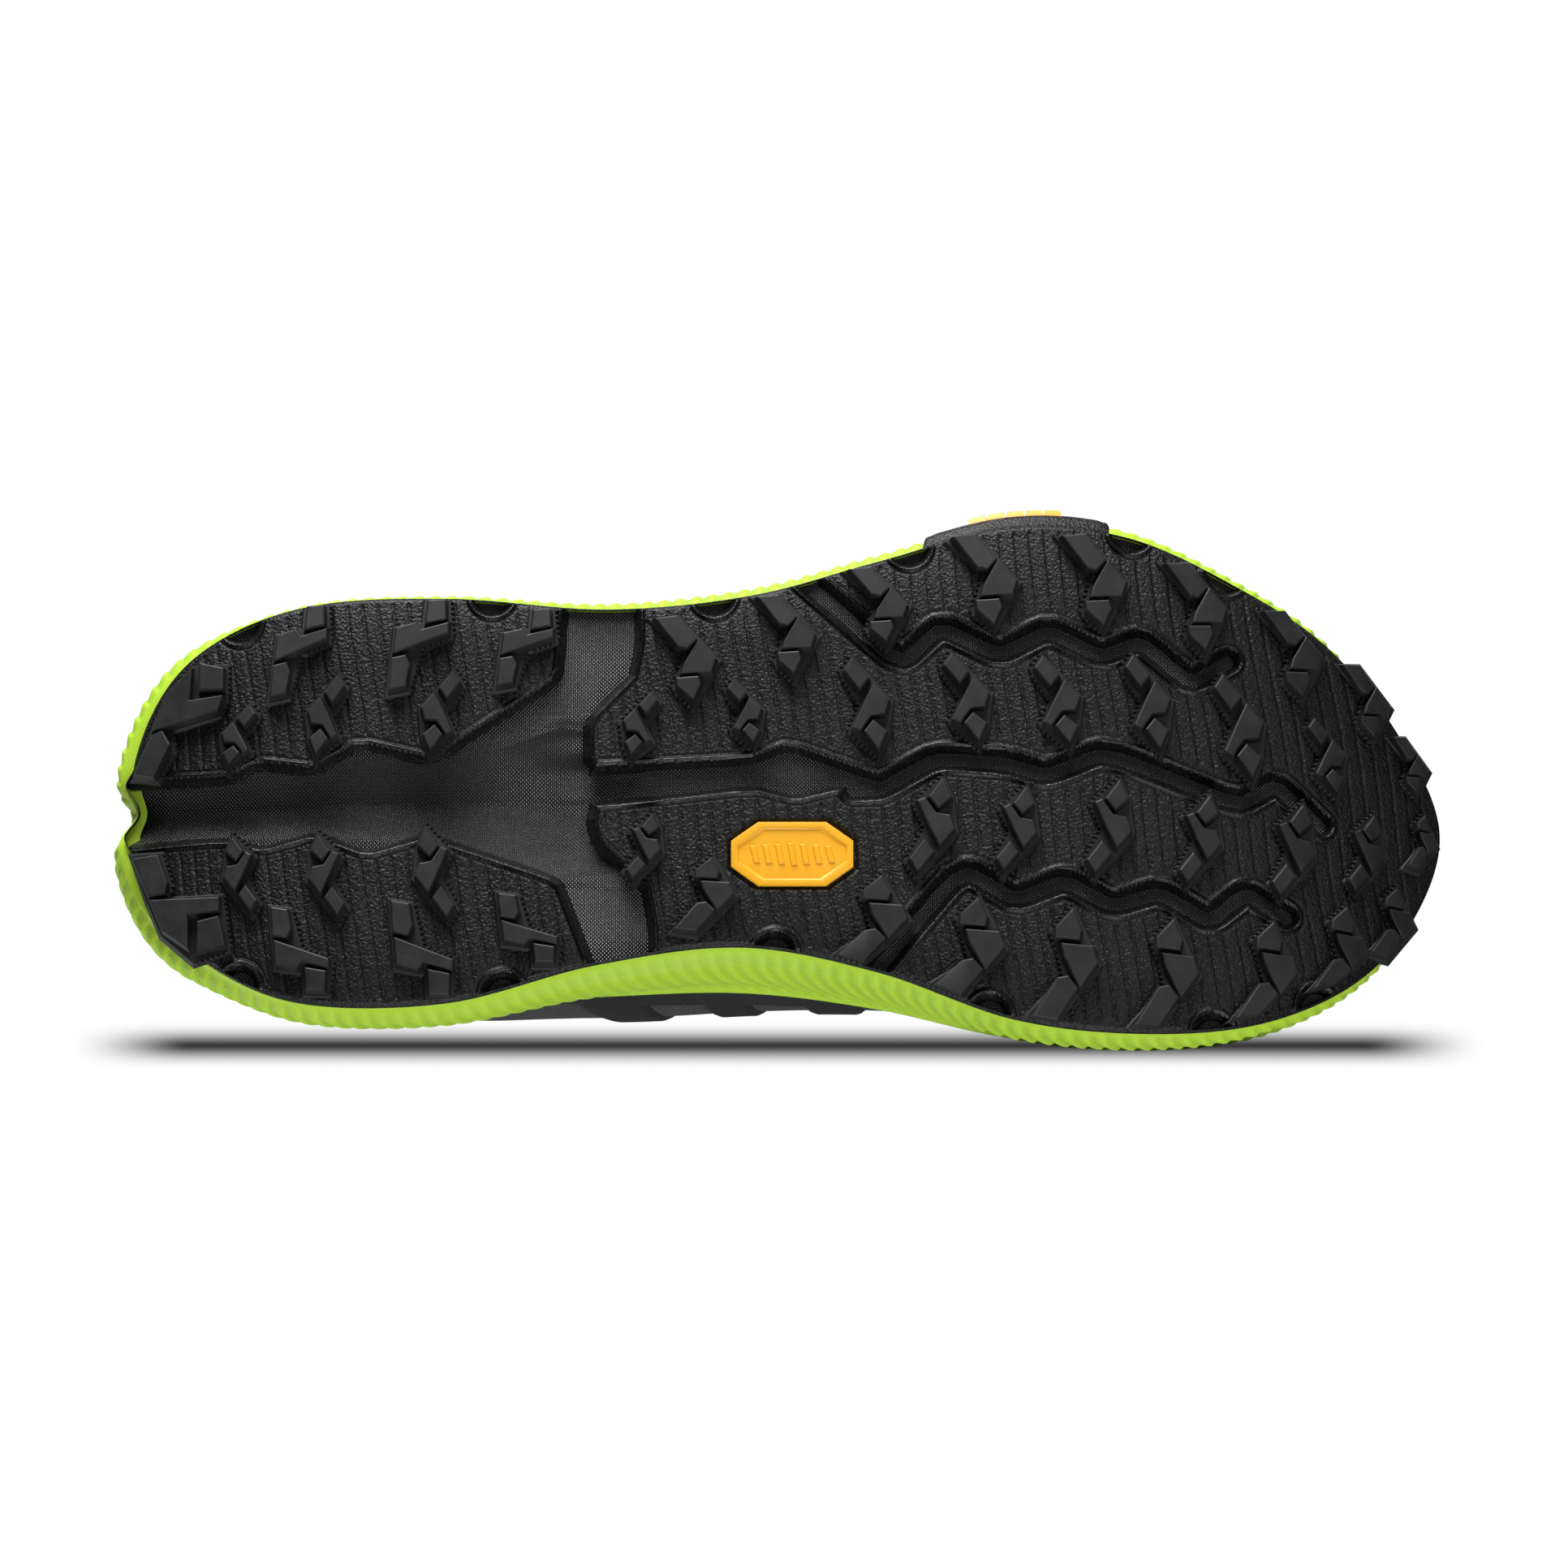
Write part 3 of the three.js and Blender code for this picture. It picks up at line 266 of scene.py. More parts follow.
def ground(x, y):
    # the rolling surface under the shoe: flat in the middle, up at the toe, the heel and the edges
    left, right = np.interp(x, wideX, wideLateral[:, 1]), np.interp(x, wideX, wideMedial[:, 1])
    share = np.abs(2 * (y - left) / np.maximum(right - left, 1) - 1)
    return rocker(x) + 2.4 * np.clip((share - 0.6) / 0.4, 0, 1) ** 2


# Making pieces
def grid(rows, columns, closed=False):
    index = np.arange(rows * columns).reshape(rows, columns)
    if closed:
        index = np.vstack([index, index[:1]])
    return np.stack([index[:-1, :-1], index[1:, :-1], index[1:, 1:], index[:-1, 1:]], -1).reshape(-1, 4)


def addPiece(name, points, faces, finish, slot, body="shoe", stands=(), sharp=None, values=None):
    points = toMetres(points)
    mesh = bpy.data.meshes.new(name)
    if isinstance(faces, np.ndarray):
        used, faces = np.unique(faces, return_inverse=True)
        faces = faces.reshape(-1, 4) if faces.ndim == 1 else faces
        points = points[used]
        values = {key: np.asarray(v)[used] for key, v in (values or {}).items()}
        mesh.vertices.add(len(points))
        mesh.vertices.foreach_set("co", points.astype(np.float32).ravel())
        mesh.loops.add(faces.size)
        mesh.loops.foreach_set("vertex_index", faces.astype(np.int32).ravel())
        mesh.polygons.add(len(faces))
        mesh.polygons.foreach_set("loop_start", np.arange(0, faces.size, faces.shape[1], dtype=np.int32))
        mesh.update(calc_edges=True)
    else:
        mesh.from_pydata(points.tolist(), [], faces)
    for key, v in (values or {}).items():
        mesh.attributes.new(key, "FLOAT", "POINT").data.foreach_set("value", np.asarray(v, np.float32))
    mesh.validate()
    mesh.shade_smooth()
    if sharp is not None:
        mesh.set_sharp_from_angle(angle=math.radians(sharp))
    piece = bpy.data.objects.new(name, mesh)
    bpy.context.scene.collection.objects.link(piece)
    mesh.materials.append(finish.material)
    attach(piece, body)
    if stands:
        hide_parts(*stands)
    return piece


class Heap:
    # gathers small closed shapes into one mesh
    def __init__(self):
        self.points, self.faces = [], []

    def rings(self, rings, capped=(True, True)):
        start, n = sum(len(p) for p in self.points), len(rings[0])
        self.points += [np.asarray(r, float) for r in rings]
        for r in range(len(rings) - 1):
            a = start + r * n
            self.faces += [[a + i, a + (i + 1) % n, a + n + (i + 1) % n, a + n + i] for i in range(n)]
        if capped[0]:
            self.faces.append([start + i for i in reversed(range(n))])
        if capped[1]:
            self.faces.append([start + (len(rings) - 1) * n + i for i in range(n)])

    def add(self, name, finish, slot, **more):
        return addPiece(name, np.vstack(self.points), self.faces, finish, slot, **more)


def grown(plan, by):
    # a closed plan, moved outwards by a distance on every side
    plan = np.asarray(plan, float)
    edges = unit(np.roll(plan, -1, 0) - plan)
    x, y = plan.T
    turn = 1 if np.sum(x * np.roll(y, -1) - np.roll(x, -1) * y) > 0 else -1
    normals = np.stack([edges[:, 1], -edges[:, 0]], 1) * turn
    before = np.roll(normals, 1, 0)
    both = normals + before
    return plan + both / np.maximum(1 + np.sum(normals * before, 1, keepdims=True), 0.45) * by


def lifted(plan, level):
    x, y = np.asarray(plan, float).T
    return np.stack([x, y, ground(x, y) + level], 1)


def distanceToPath(x, y, path):
    best = np.full(x.shape, 1e9)
    for (ax, ay), (bx, by) in zip(path[:-1], path[1:]):
        dx, dy = bx - ax, by - ay
        t = np.clip(((x - ax) * dx + (y - ay) * dy) / max(dx * dx + dy * dy, 1e-9), 0, 1)
        best = np.minimum(best, np.hypot(x - ax - t * dx, y - ay - t * dy))
    return best


def depthInside(x, y, plan):
    # how far a point lies inside a closed plan; negative outside
    inside = np.zeros(x.shape, bool)
    closed = [*plan, plan[0]]
    for (ax, ay), (bx, by) in zip(closed[:-1], closed[1:]):
        if ay != by:
            inside ^= ((ay > y) != (by > y)) & (x < (bx - ax) * (y - ay) / (by - ay) + ax)
    return np.where(inside, 1, -1) * distanceToPath(x, y, closed)


def rounded(path, times=2, closed=False, cutting=0.12):
    path = np.asarray(path, float)
    for _ in range(times):
        a, b = (path, np.roll(path, -1, 0)) if closed else (path[:-1], path[1:])
        cut = np.stack([a * (1 - cutting) + b * cutting, a * cutting + b * (1 - cutting)], 1).reshape(-1, 2)
        path = cut if closed else np.vstack([path[:1], cut, path[-1:]])
    return path


# Camera, floor and light
stageSetup = {"lean": 14, "lens": 110, "sensor": 36, "frameWidth": 346.5, "aim": (149.5, -3.5, 4),
              "worldLight": 0.09, "floorHalf": 3, "floorFades": (0.35, 1.6), "lightsAim": (0, 0, 0.03)}
contactShade = {"at": (148, 52.2, 20), "halfLength": 0.158, "halfDepth": 0.0062, "ends": 0.82, "dark": 0.96}
studioLights = {  # place and width in metres, power in watts
    "sole_key": ((-0.3, -1.5, -0.55), 0.9, 42), "sole_fill": ((0.9, 0.5, -1.4), 1.2, 7.5),
    "slope_light": ((0.1, -1.15, -0.95), 0.35, 5), "top_light": ((0.3, -0.9, 1.7), 1.4, 14),
    "side_light": ((-1.4, 0.9, 0.9), 1.2, 9), "bounce_light": ((0.1, 1.5, -0.5), 1.0, 15)}


def buildCamera():
    lean = math.radians(stageSetup["lean"])
    back = Vector((0, math.sin(lean), -math.cos(lean)))
    up = Vector((0, -math.cos(lean), -math.sin(lean)))
    camera = bpy.data.objects.new("camera", bpy.data.cameras.new("camera"))
    camera.data.lens, camera.data.sensor_width = stageSetup["lens"], stageSetup["sensor"]
    away = stageSetup["frameWidth"] / 1000 * stageSetup["lens"] / stageSetup["sensor"]
    turn = Matrix((Vector((1, 0, 0)), up, back)).transposed().to_4x4()
    camera.matrix_world = Matrix.Translation(Vector(toMetres(stageSetup["aim"])) + back * away) @ turn
    camera.data.clip_end = 20
    bpy.context.scene.collection.objects.link(camera)
    bpy.context.scene.camera = camera


def softLight(name, spot, width, power):
    light = bpy.data.objects.new(name, bpy.data.lights.new(name, "AREA"))
    light.data.shape, light.data.size, light.data.energy = "SQUARE", width, power
    light.location = spot
    light.rotation_euler = (Vector(spot) - Vector(stageSetup["lightsAim"])).to_track_quat("Z", "Y").to_euler()
    bpy.context.scene.collection.objects.link(light)


def thinned(made, share):
    # shows the finish by share, and lets the rest through
    mixed = made.node("ShaderNodeMixShader", i0=share, i1=made.node("ShaderNodeBsdfTransparent")(),
                      i2=Wire(made.tree, made.shader.outputs[0]))
    made.tree.links.new(mixed().socket, made.tree.nodes["Material Output"].inputs["Surface"])
    return made


def floorFinish():
    # shows from above only, and thins out with distance
    made = Finish("pale_floor", (0.86, 0.86, 0.86), 0.9)
    x, y, _ = made.axes()
    far = made.smooth((x * x + y * y) ** 0.5, *stageSetup["floorFades"])
    return thinned(made, 1 - (made.node("ShaderNodeNewGeometry")("Backfacing") + far).clamped())


def shadeFinish():
    # painted shadow: the dark line where the lying shoe meets the table; thins out to nothing, and shows from
    # below only
    made = Finish("contact_shade", (0, 0, 0), 1.0, Specular_IOR_Level=0.0)
    x, y, _ = made.axes()
    fall = 1 - made.smooth(abs(y) / contactShade["halfDepth"], 0.0, 1.0)
    ends = 1 - made.smooth(abs(x) / contactShade["halfLength"], contactShade["ends"], 1.0)
    front = 1 - made.node("ShaderNodeNewGeometry")("Backfacing")
    return thinned(made, (fall ** 1.5) * ends * contactShade["dark"] * front)


def buildStage():
    scene = bpy.context.scene
    scene.view_settings.view_transform = "Standard"
    world = bpy.data.worlds.new("studio")
    scene.world = world
    world.use_nodes = True
    tree = world.node_tree
    backdrop, path = tree.nodes["Background"], tree.nodes.new("ShaderNodeLightPath")
    level = tree.nodes.new("ShaderNodeMath")  # white behind the shoe, dimmer as light on it
    level.operation = "MULTIPLY_ADD"
    tree.links.new(path.outputs["Is Camera Ray"], level.inputs[0])
    level.inputs[1].default_value = 1 - stageSetup["worldLight"]
    level.inputs[2].default_value = stageSetup["worldLight"]
    tree.links.new(level.outputs[0], backdrop.inputs["Strength"])
    backdrop.inputs["Color"].default_value = (1, 1, 1, 1)

    def card(name, centre, facing, halfX, halfY, finish):
        # a level rectangle; facing is 1 up and -1 down
        mesh = bpy.data.meshes.new(name)
        corners = [(-halfX, -halfY, 0), (halfX, -halfY, 0), (halfX, halfY, 0), (-halfX, halfY, 0)]
        mesh.from_pydata(corners, [], [(0, 1, 2, 3)])
        mesh.materials.append(finish.material)
        made = bpy.data.objects.new(name, mesh)
        made.matrix_world = Matrix.Translation(Vector(centre)) @ Matrix.Diagonal((facing, 1, facing, 1))
        scene.collection.objects.link(made)
        made.visible_shadow = made.visible_diffuse = made.visible_glossy = False

    card("floor", (0, 0, 0), 1, stageSetup["floorHalf"], stageSetup["floorHalf"], floorFinish())
    card("contact_shade", toMetres(contactShade["at"]), -1,
         contactShade["halfLength"], contactShade["halfDepth"], shadeFinish())
    for name, (spot, width, power) in studioLights.items():
        softLight(name, spot, width, power)
    print("camera, floor and light done")


buildCamera()
buildStage()


# Finishes of the sole
def rubberFinish():
    made = Finish("pebbled_rubber", (0.009, 0.009, 0.0095), 0.5, Specular_IOR_Level=0.34)
    pebbles = made.noise(0.62, 2.0, 0.5)
    broad = made.noise(9, 2.0)
    tops = made.smooth(pebbles, 0.42, 0.72)
    made.feed("Base Color", made.blend(tops, (0.002, 0.002, 0.0023), (0.012, 0.012, 0.0125)))
    gloss = made.value("gloss")
    made.feed("Roughness", (0.3 + broad * 0.16 + (1 - pebbles) * 0.1) * (1 - gloss * 0.4))
    made.relief(pebbles * (1 - gloss * 0.8), 0.34, 1.0)
    return made


def lugFinish():
    made = Finish("lug_rubber", (0.03, 0.031, 0.033), 0.55, Specular_IOR_Level=0.45)
    dust, grain = made.noise(5, 4.0, 0.6), made.noise(0.5, 2.0)
    dusty = made.smooth(dust, 0.3, 0.75)
    made.feed("Base Color", made.blend(dusty, (0.008, 0.0083, 0.009), (0.016, 0.0168, 0.018)))
    made.feed("Roughness", 0.46 + dust * 0.22)
    made.relief(grain, 0.05, 0.5)
    return made


def wovenFoamFinish():
    # black foam skin with a fine diamond weave
    made = Finish("black_foam_weave", (0.02, 0.02, 0.021), 0.34, Specular_IOR_Level=0.8)
    x, y, _ = made.axes()
    pitch = math.pi / 0.00085
    dots = abs(((x + y) * pitch).sine() * ((x - y) * pitch).sine())
    broad = made.noise(7, 2.0)
    made.feed("Base Color", made.blend(dots, (0.009, 0.009, 0.0095), (0.042, 0.042, 0.044)))
    made.feed("Roughness", 0.27 - dots * 0.1 + broad * 0.08)
    made.relief(dots, 0.24, 1.0)
    return made


def limeFinish():
    made = Finish("lime_foam", (0.46, 0.74, 0.04), 0.5, Specular_IOR_Level=0.4, Sheen_Weight=0.05)
    grain, patches = made.noise(0.55, 2.0, 0.5), made.noise(26, 2.0)
    x, _, z = made.axes()
    pitch = math.pi / 0.0009
    dots = abs(((x + z) * pitch).sine() * ((x - z) * pitch).sine())
    valley = made.value("valley")
    tone = made.blend(patches, (0.45, 0.73, 0.034), (0.53, 0.82, 0.047))
    # painted shade: the valleys between the ribs are painted a darker green
    made.feed("Base Color", made.blend(valley * (0.35 + dots * 0.2), tone, (0.2, 0.42, 0.022)))
    made.feed("Roughness", 0.44 + grain * 0.16)
    made.relief(dots * valley + grain * 0.6, 0.1, 0.6)
    return made


def amberFinish():
    made = Finish("amber_rubber", (0.93, 0.42, 0.012), 0.42, Specular_IOR_Level=0.45)
    patches, grain = made.noise(11, 3.0), made.noise(0.4, 1.0)
    made.feed("Base Color", made.blend(patches, (0.93, 0.42, 0.01), (0.99, 0.5, 0.02)))
    made.feed("Roughness", 0.36 + patches * 0.14)
    made.relief(grain, 0.03, 0.4)
    return made


rubber, lugRubber, wovenFoam = rubberFinish(), lugFinish(), wovenFoamFinish()
lime, amber = limeFinish(), amberFinish()

# The tread: rubber pads, the woven foam seen between them, lugs
treadShape = {"stepAlong": 0.31, "columns": 300, "padLevel": 4.0, "foamLevel": 6.3, "wall": 1.5,
              "lip": 0.5, "ribPitch": 3.42, "ribSlant": 0.13, "ribDepth": 0.36, "grooveHalf": 2.8,
              "notchRadius": 4.9}
grooves = [
    [[150, -56], [154.5, -50.5], [175.5, -31.5], [184.5, -40], [197.5, -33.6], [208.5, -39.4], [220.3, -33.7],
     [229.3, -37.5], [240.5, -28.4], [249, -33.8]],
    [[167, 42], [171, 36.5], [186.5, 18], [190.5, 16.3], [200.5, 22.2], [211.5, 17.8], [222, 23.4],
     [232.5, 19.9], [243.5, 26], [252, 19], [261, 24]],
    [[165, -2.6], [170.8, -2.8], [183.2, -9.8], [198.7, -8.7], [207.6, -6], [220.7, -11.6], [250.7, -0.9],
     [259.5, -6.4], [269.5, 2.2]]]
mouth = [[90, -7.6], [107.9, -7.8], [141.5, -9.5], [150.6, -12.9], [170.8, -5.6], [175, -7], [173, -1],
         [170.8, 0], [161.7, -2.4], [152, 0], [142.8, -2.4], [109, 1.5], [90, 1.5]]
padPlans = {
    "forefoot": [[117.4, -80], [117.4, -29.6], [106.4, -18.1], [106.4, -9.5], [108, -8], [108, 2],
                 [107.2, 4.5], [108.3, 9.3], [120.7, 21.4], [121.7, 80], [320, 80], [320, -80]],
    "heel_lateral": [[-20, -7.2], [25.9, -6.2], [32.6, -9.4], [45.2, -7.6], [55.4, -13.3], [71.6, -9.6],
                     [98, -27.3], [99.4, -30], [101.8, -80], [-20, -80]],
    "heel_medial": [[-20, 9.2], [27.6, 8.6], [34.1, 11], [46, 8], [57.6, 12.5], [70.8, 8.6], [98, 17.8],
                    [100, 19.4], [108, 40], [108, 80], [-20, 80]]}
edgeNotches = {-1: [28.4, 84, 133, 178, 228, 250], 1: [30.4, 88, 148.5, 195, 242, 265]}
badgePlan = {"x": 151.3, "y": 12.4, "length": 27, "width": 14.5, "cornerX": 6, "cornerY": 4.3}
channelAt = np.array([[-12, 7, 1], [0, 7, 1], [30, 7, 1], [60, 8, 1], [82, 11, 0.95], [100, 17, 0.7],
                      [114, 15, 0.3], [120, 9, 0]])


def octagon(grow=0.0):
    a, b = badgePlan["length"] / 2 + grow, badgePlan["width"] / 2 + grow
    p, q = a - badgePlan["cornerX"] - grow * 0.2, b - badgePlan["cornerY"] - grow * 0.2
    plan = np.array([[-a, -q], [-p, -b], [p, -b], [a, -q], [a, q], [p, b], [-p, b], [-a, q]])
    return plan + [badgePlan["x"], badgePlan["y"]]


heelShape = {"cleft": 5, "cleftWidth": 5, "cleftEnds": 14, "shy": 3.2, "shyEnds": 36}


def cleftInset(x, y):
    return (heelShape["cleft"] * swell(y, 0, heelShape["cleftWidth"])
            * np.clip(1 - x / heelShape["cleftEnds"], 0, 1) ** 2)


def heelInset(x, y):
    # the split at the back of the heel, and how far the rubber stays behind the foam there
    shy = heelShape["shy"] * np.clip(1 - x / heelShape["shyEnds"], 0, 1) ** 2
    return cleftInset(x, y) + shy * (0.25 + 0.75 * smooth(5, 10, np.abs(y)))


def treadPoints():
    shape = treadShape
    rows = int(lengthOfShoe / shape["stepAlong"])
    share = tread.shareAt(np.linspace(0, lengthOfShoe, rows))
    share[0], share[-1] = 0, 1
    across = np.linspace(-1, 1, shape["columns"])
    across = np.sign(across) * (1 - (1 - np.abs(across)) ** 1.04)
    a, b = tread.at(share, -1), tread.at(share, 1)
    plan = a[:, None] + (b - a)[:, None] * (across[None, :, None] + 1) / 2
    x, y = plan[..., 0].ravel(), plan[..., 1].ravel()
    outline = np.vstack([tread.at(np.linspace(0, 1, 160), -1), tread.at(np.linspace(1, 0, 160), 1)])
    edge = distanceToPath(x, y, outline)
    return rows, x, y, edge, x + heelInset(x, y)


treadRows, treadX, treadY, treadEdge, treadMoved = treadPoints()
treadGround = ground(treadX, treadY)
print("tread laid out,", treadX.size, "points")


def padDepth(plan):
    x, y = treadX, treadY
    depth = depthInside(x, y, plan)
    for groove in grooves:
        depth = np.minimum(depth, distanceToPath(x, y, rounded(groove, 2)) - treadShape["grooveHalf"])
    depth = np.minimum(depth, -depthInside(x, y, rounded(mouth, 1, True)))
    for side, stations in edgeNotches.items():
        for station in stations:
            foot = tread.at(tread.shareAt(station), side, 1.6)
            away = np.hypot(x - foot[0], (y - foot[1]) * 0.95)
            depth = np.minimum(depth, away - treadShape["notchRadius"])
    return depth


def pebbleSteps(x, y, depth):
    shape = treadShape
    along = x - shape["ribSlant"] * y + 0.5 * np.sin(y / 9) + 0.25 * np.sin(x / 17)
    part = (along / shape["ribPitch"]) % 1
    away = np.minimum(part, 1 - part) * shape["ribPitch"]
    calm = smooth(1.5, 2.3, depth)
    return calm * (shape["ribDepth"] * swell(away, 0, 0.27) - 0.1 * (part - 0.5))


def buildPads():
    shape = treadShape
    names = {"forefoot": "outsole_forefoot", "heel_lateral": "outsole_heel_lateral",
             "heel_medial": "outsole_heel_medial"}
    faces = grid(treadRows, shape["columns"])
    badgeDepth = depthInside(treadX, treadY, octagon(0.9))
    shown = np.zeros(treadX.shape, bool)
    for key, node in names.items():
        depth = padDepth(rounded(padPlans[key], 1, True))
        lip = swell(depth, 0.5, 0.36)
        rise = shape["lip"] * lip - 0.3 * swell(depth, 1.35, 0.26)
        toEdge = np.minimum(treadEdge, 9)
        level = shape["padLevel"] - rise + pebbleSteps(treadX, treadY, np.minimum(depth, toEdge + 0.7))
        level = level + np.maximum(0, -depth) * 2.6 / shape["wall"]
        level = level + 0.55 * np.clip(1 - toEdge / 0.7, 0, 1) ** 2
        if key == "forefoot":
            level = level + 0.9 * smooth(0, 0.5, badgeDepth)
        z = treadGround + level
        inside = depth > -shape["wall"] - 0.3
        shown |= depth > -shape["wall"] + 0.5
        keep = inside[faces].all(1)
        gloss = np.where(depth > 0, lip, np.exp(depth / 1.2))
        addPiece(key + "_rubber", np.stack([treadMoved, treadY, z], 1), faces[keep], rubber, "outsole_rubber",
                 stands=(node,), values={"gloss": gloss})
        print(key, "pad done")
    return faces, shown


channelShape = {"depth": 5.4, "ends": 124, "valleyY": -0.6, "medialPower": 1.7, "hollow": 2.2, "hollowX": 101}


def channelRise(x, y):
    shape = channelShape
    half, share = (np.interp(x, channelAt[:, 0], channelAt[:, k]) for k in (1, 2))
    out = np.clip(np.abs(y - shape["valleyY"]) / (half + 1.4), 0, 1)
    # the medial slope steepens towards the pads
    steep = 1 - out ** np.where(y > shape["valleyY"], shape["medialPower"], 1.0)
    # the darker hollow under the arch
    deep = shape["hollow"] * swell(x, shape["hollowX"], 9) * np.clip(1 - (np.abs(y) / half) ** 4, 0, 1)
    return np.where(x < shape["ends"], shape["depth"] * share * steep, 0) + deep


def buildCarrier(faces, covered):
    x, y = treadX, treadY
    z = treadGround + treadShape["foamLevel"] + channelRise(x, y)
    z = z + 0.35 * smooth(90, 104, x) * (1 - smooth(104, 122, x)) * np.sin(y / 1.5) * (np.abs(y) < 20)
    keep = ~covered[faces].all(1)
    addPiece("woven_foam", np.stack([treadMoved, y, z], 1), faces[keep], wovenFoam, "black_foam",
             stands=("midsole_carrier",))
    print("woven foam done")


def buildTreadEdge():
    # the rubber's rounded side and the black band over it, all round the outline
    count = 700
    share = np.concatenate([np.linspace(0, 1, count), np.linspace(1, 0, count)[1:-1]])
    side = np.concatenate([np.full(count, -1), np.full(count - 2, 1)])
    steps = [(0, 4.55), (0.28, 4.75), (0.4, 5.2), (0.4, 6.0), (0.1, 6.6)]
    rings = []
    for grow, level in steps:
        plan = np.where((side < 0)[:, None], tread.at(share, -1, grow), tread.at(share, 1, grow))
        base = tread.at(share, -1) * (side < 0)[:, None] + tread.at(share, 1) * (side > 0)[:, None]
        z = ground(base[:, 0], base[:, 1]) + level
        x = plan[:, 0] + heelInset(plan[:, 0], plan[:, 1])
        rings.append(np.stack([x, plan[:, 1], z], 1))
    points = np.stack(rings, 1)
    faces = grid(points.shape[0], len(steps), closed=True)
    addPiece("tread_edge", points.reshape(-1, 3), faces, rubber, "outsole_rubber")


lugBlocks = {
    "side": [[(-6.9, 9.7), (-1.8, 10.3), (2.6, 4.4), (0.5, 2.1), (-1.7, 2.5)],
             [(2.9, 4.7), (6.9, -0.2), (5.9, -3.4), (-1, -3.9), (-0.3, -1.3)],
             [(-2.1, -4.8), (3, -4.4), (3.6, -6.3), (1.8, -10.4), (-1.9, -6.9)]],
    "inner": [[(-3.1, 11.2), (0.6, 6.3), (-1.5, 3.2), (-5, 8)],
              [(1.7, 5.2), (5.2, 0.9), (4.2, -2.4), (1, -3), (-1.3, -6.7), (-3.1, -5.8), (-0.6, 0.2)],
              [(1.5, -3.9), (4.6, -6.7), (2.7, -11.4), (-0.6, -6.7)]],
    "heel": [[(1.8, 11), (5.9, 11.2), (6.1, 6.1), (1.4, 5.1)],
             [(-5.1, 4.1), (-0.6, 5.5), (0.6, 3.7), (6.7, 5.5), (6.7, 2.9), (-0.2, 0), (-5.7, -2.4)],
             [(-5.9, -3.3), (-2.8, -2.6), (-1.8, -4.9), (-2.6, -10.2), (-6.5, -11)]]}
lugOutlines = {
    "side": [(-6.9, 9.7), (-1.8, 10.3), (6.9, -0.2), (1.8, -10.4), (-2.2, -6.5), (-0.8, -2.5), (0.4, 2)],
    "inner": [(-3.1, 11.2), (5.2, 0.9), (4.4, -6.8), (2.7, -11.4), (-3.1, -5.8), (-0.6, 0.2), (-5, 8)],
    "heel": [(1.6, 11.1), (6, 11.2), (6.7, 2.9), (-0.2, 0), (-2.6, -10.2), (-6.5, -11), (-5.1, 4.1),
             (1.2, 5.3)]}
foreLugs = [
    ("side", 127.6, -31.5, 1, -0.95), ("side", 150, -37, 0.95, -0.9), ("side", 170.5, -43.9, 0.95, -0.85),
    ("side", 194.3, -49.8, 1.05, -1.05), ("side", 218.8, -50, 1.05, -1.05), ("side", 241.8, -45, 1, -1),
    ("side", 264, -36, 1, -0.95), ("side", 281, -27, 0.8, -0.8), ("side", 291.2, -13.5, 0.6, -0.6),
    ("inner", 117.8, -16.5, -0.75, -0.65), ("inner", 140.7, -19.2, 0.75, -0.65),
    ("inner", 167.7, -21, 1, -0.95), ("inner", 189.8, -22.6, 1, -0.9), ("inner", 210, -22.1, 1, -0.9),
    ("inner", 230.2, -22.3, 1, -0.95), ("inner", 250.8, -18, 1.1, -1.05), ("inner", 271, -13, 0.85, -0.75),
    ("inner", 118.6, 11.5, 0.75, 0.65), ("side", 132, 22.2, 0.95, 0.8), ("inner", 181.9, 6.6, 1, 0.95),
    ("inner", 200.5, 7.4, 0.9, 0.85), ("inner", 221, 6.6, 1, 0.95), ("inner", 241.3, 8.6, 0.95, 0.9),
    ("inner", 262.5, 9.6, 1, 0.95), ("inner", 279.6, 8.6, 0.85, 0.8), ("side", 169, 27.8, 1.1, 0.95),
    ("side", 190.2, 34.2, 1.1, 1.1), ("side", 211, 37.6, 1.05, 1.2), ("side", 233.3, 39.2, 1.05, 1.2),
    ("side", 255.8, 37.6, 1.05, 1.1), ("side", 273, 31.2, 0.95, 0.95), ("side", 285.5, 23.5, 0.75, 0.75),
    ("side", 293.3, 4, 0.5, 0.6)]
heelLugs = [
    ("heel", 41.6, -33.4, 0.95, -0.95), ("heel", 68.4, -34.6, 1, -0.95), ("heel", 92, -34, 0.95, -0.8),
    ("inner", 28.6, -14.6, -0.75, -0.6), ("inner", 48.2, -18.6, -0.8, -0.8),
    ("inner", 73.6, -19.4, -0.85, -0.82),
    ("heel", 43.4, 34, 1, 0.85), ("heel", 70.2, 34, 1.05, 0.95), ("heel", 93.3, 29.6, 1, 0.7),
    ("inner", 30, 17, -0.75, 0.75), ("inner", 49.2, 17.8, -0.8, 0.82), ("inner", 73, 17.4, -0.85, 0.9)]
cornerLugs = [
    [[(15.8, -31.8), (21.5, -30.2), (21.5, -25.1), (16, -25.3)],
     [(14.2, -30.6), (13.8, -23.3), (21.5, -24.1), (20.3, -20.4), (5.5, -16.8), (8.8, -25.3)]],
    [[(5.3, -15.9), (7.8, -16.8), (9.6, -13.5), (6.1, -6.1), (1.7, -7.2)]],
    [[(1.9, 12.2), (7.7, 11.6), (10, 17.9), (9.6, 20.7), (5.7, 20.9)]],
    [[(6.1, 21.7), (21.9, 21.9), (21.9, 25.2), (14.8, 25.6), (15.1, 33.2), (9.2, 28.9)],
     [(17.1, 27.2), (21.9, 26.2), (22.9, 30.1), (23.5, 32.9), (17.1, 35)]]]
